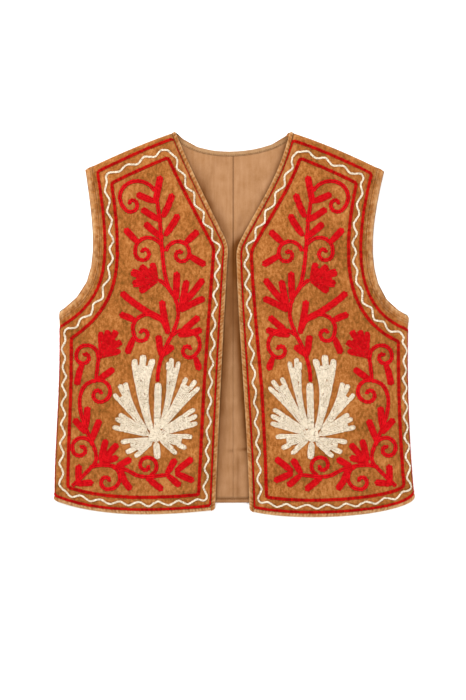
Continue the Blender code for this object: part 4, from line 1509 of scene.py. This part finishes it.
def sewing(name, paths, frames, material, keep=None, mirror=(1, 1, 1)):
    """Sewing thread in separate straight stitches along the paths, where keep says so."""
    stitch, gap = TOPSTITCH
    parts = []
    for path in paths:
        length = lengths(path)[-1]
        starts = np.arange(int(length / (stitch + gap))) * (stitch + gap) / length
        ends = resampled(path, starts + stitch / length)
        half_widths = np.full(len(starts), SEWING_HALF_WIDTH)
        parts.append(np.column_stack([resampled(path, starts), ends, half_widths]))
    links = np.concatenate(parts)
    if keep:
        links = links[keep(middles(links))]
    shape = yarn_mesh(SEWING_STITCH, (1,))
    return stitching(name, links, frames, shape, SEWING_HEIGHT, material, mirror)


def topstitching(front, material):
    """The sewing thread along the front's bands."""
    bands = ((name, band.stitch_lines) for name, band in BANDS.items())
    paths = [path for name, insets in bands for path in band_lines(front, name, insets)]

    def keep(points):
        return front.depth(points, "hem") > TOPSTITCH_ENDS

    def frames(points):
        places, normals = front.frames(points)
        return places + (BAND_LIFT - GROOVE_DEPTH) * normals, normals

    return sewing(f"{front.side}_topstitching", paths, frames, material, keep, front.mirror)


def inside_stitching(material):
    """The sewing thread along the neck facing and the turned hem."""
    paths = (
        moved(bezier(BACK_NECKLINE), FACING_STITCH_LINE - NECK_FACING),
        moved(bezier(BACK_HEM), HEM_FACING - FACING_STITCH_LINE),
    )

    def frames(points):
        places = level(points, LINING_TOP - STITCH_SINK)
        return places, np.broadcast_to((0.0, 0.0, 1.0), places.shape)

    return sewing("inside_stitching", paths, frames, material)


# ---- Embroidery ----


def embroidery(front, materials):
    """The front's chain stitch. Returns the places of all its links."""
    insets = BORDERS[front.side]
    inner = chain(smoothed(front.ring(insets["inner"]), BORDER_CORNER, closed=True), BORDER_HALF_WIDTH)
    wave = chain(wave_path(front), WAVE_HALF_WIDTH)
    # name: (rows, shape of a link, material, slot, CAD node that it stands for)
    pieces = {
        "red_border": ([inner, outer_line(front)], RED_LEG, "red_border", "red_thread", "inner_border"),
        "red_vine": (vine_rows(), RED_LEG, "red", "red_thread", None),
        "cream_wave": ([wave], RED_LEG, "cream", "cream_thread", None),
        "cream_palmette": (palmette_rows(), CREAM_LEG, "cream", "cream_thread", "palmette"),
    }

    def frames(points):
        places, normals = front.frames(points)
        return above_back(places), normals

    for name, (rows, leg, finish, slot, node_name) in pieces.items():
        links = np.concatenate(rows)
        shape = yarn_mesh(leg, (-1, 1))
        height = np.minimum(YARN_HEIGHT, YARN_RISE * links[:, 4])
        piece = stitching(
            f"{front.side}_{name}", links, frames, shape, height, materials[finish], front.mirror
        )
        if node_name:
            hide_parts(f"{front.side}_{node_name}")
    return middles(np.concatenate([link for rows, *_ in pieces.values() for link in rows]))


# ---- Light, floor and camera ----


def area_light(name, place, size, power):
    """A round lamp that points at the middle of the garment."""
    light = bpy.data.lights.new(name, "AREA")
    light.shape = "DISK"
    light.size = size
    light.energy = power
    lamp = bpy.data.objects.new(name, light)
    lamp.location = place
    lamp.rotation_euler = (-Vector(place)).to_track_quat("-Z", "Y").to_euler()
    bpy.context.scene.collection.objects.link(lamp)


def studio():
    """Pale floor, even light from all round and a soft key light from above."""
    world = bpy.data.worlds.new("studio")
    bpy.context.scene.world = world
    world.use_nodes = True
    background = world.node_tree.nodes["Background"]
    background.inputs["Color"].default_value = (1, 1, 1, 1)
    background.inputs["Strength"].default_value = SKY_STRENGTH
    for name, lamp in LAMPS.items():
        area_light(name, *lamp)
    mesh = bpy.data.meshes.new("floor")
    square = ((-1, -1), (1, -1), (1, 1), (-1, 1))
    corners = [(x * FLOOR_SIZE, y * FLOOR_SIZE, FLOOR_LEVEL) for x, y in square]
    mesh.from_pydata(corners, [], [(0, 1, 2, 3)])
    floor = bpy.data.objects.new("floor", mesh)
    made = bpy.data.materials.new("floor")
    made.use_nodes = True
    shader = made.node_tree.nodes["Principled BSDF"]
    shader.inputs["Base Color"].default_value = FLOOR_COLOUR
    shader.inputs["Roughness"].default_value = FLOOR_ROUGHNESS
    shader.inputs["Specular IOR Level"].default_value = 0.0
    mesh.materials.append(made)
    bpy.context.scene.collection.objects.link(floor)


def camera():
    """The view from straight above."""
    lens = bpy.data.cameras.new("camera")
    lens.lens = LENS
    lens.sensor_width = SENSOR
    lens.clip_end = FARTHEST
    eye = bpy.data.objects.new("camera", lens)
    eye.location = EYE
    bpy.context.scene.collection.objects.link(eye)
    bpy.context.scene.camera = eye


def main():
    materials = make_materials()
    fronts = {side: Front(side) for side in OUTLINES}
    back_velvet(fronts, materials["velvet"])
    for side, front in fronts.items():
        stitches = embroidery(front, materials)
        velvet_panel(front, stitches, materials["velvet"])
        for name in BANDS:
            band_cloth(front, name, materials["band"])
        topstitching(front, materials["sewing"])
        lining_half(front, fronts, materials["lining"])
    ends = {}
    for name in ("shoulder", "side"):
        lines = {side: front.line(name, LINING_INSET) for side, front in fronts.items()}
        ends[name] = (lines["right"] * (-1, 1), lines["left"])
    neckline, hem = bezier(BACK_NECKLINE), bezier(BACK_HEM)
    tape = (materials["facing"], "facing", NECK_FACING_SHADE)
    twill = (materials["lining"], "lining", HEM_FACING_SHADE)
    facing("neck_facing", "neck_facing_tape", neckline, -NECK_FACING, ends["shoulder"], *tape)
    facing("hem_facing", "hem_facing_cloth", hem, HEM_FACING, ends["side"], *twill)
    inside_stitching(materials["sewing"])
    studio()
    camera()
    bpy.context.scene.view_settings.view_transform = "Standard"


main()
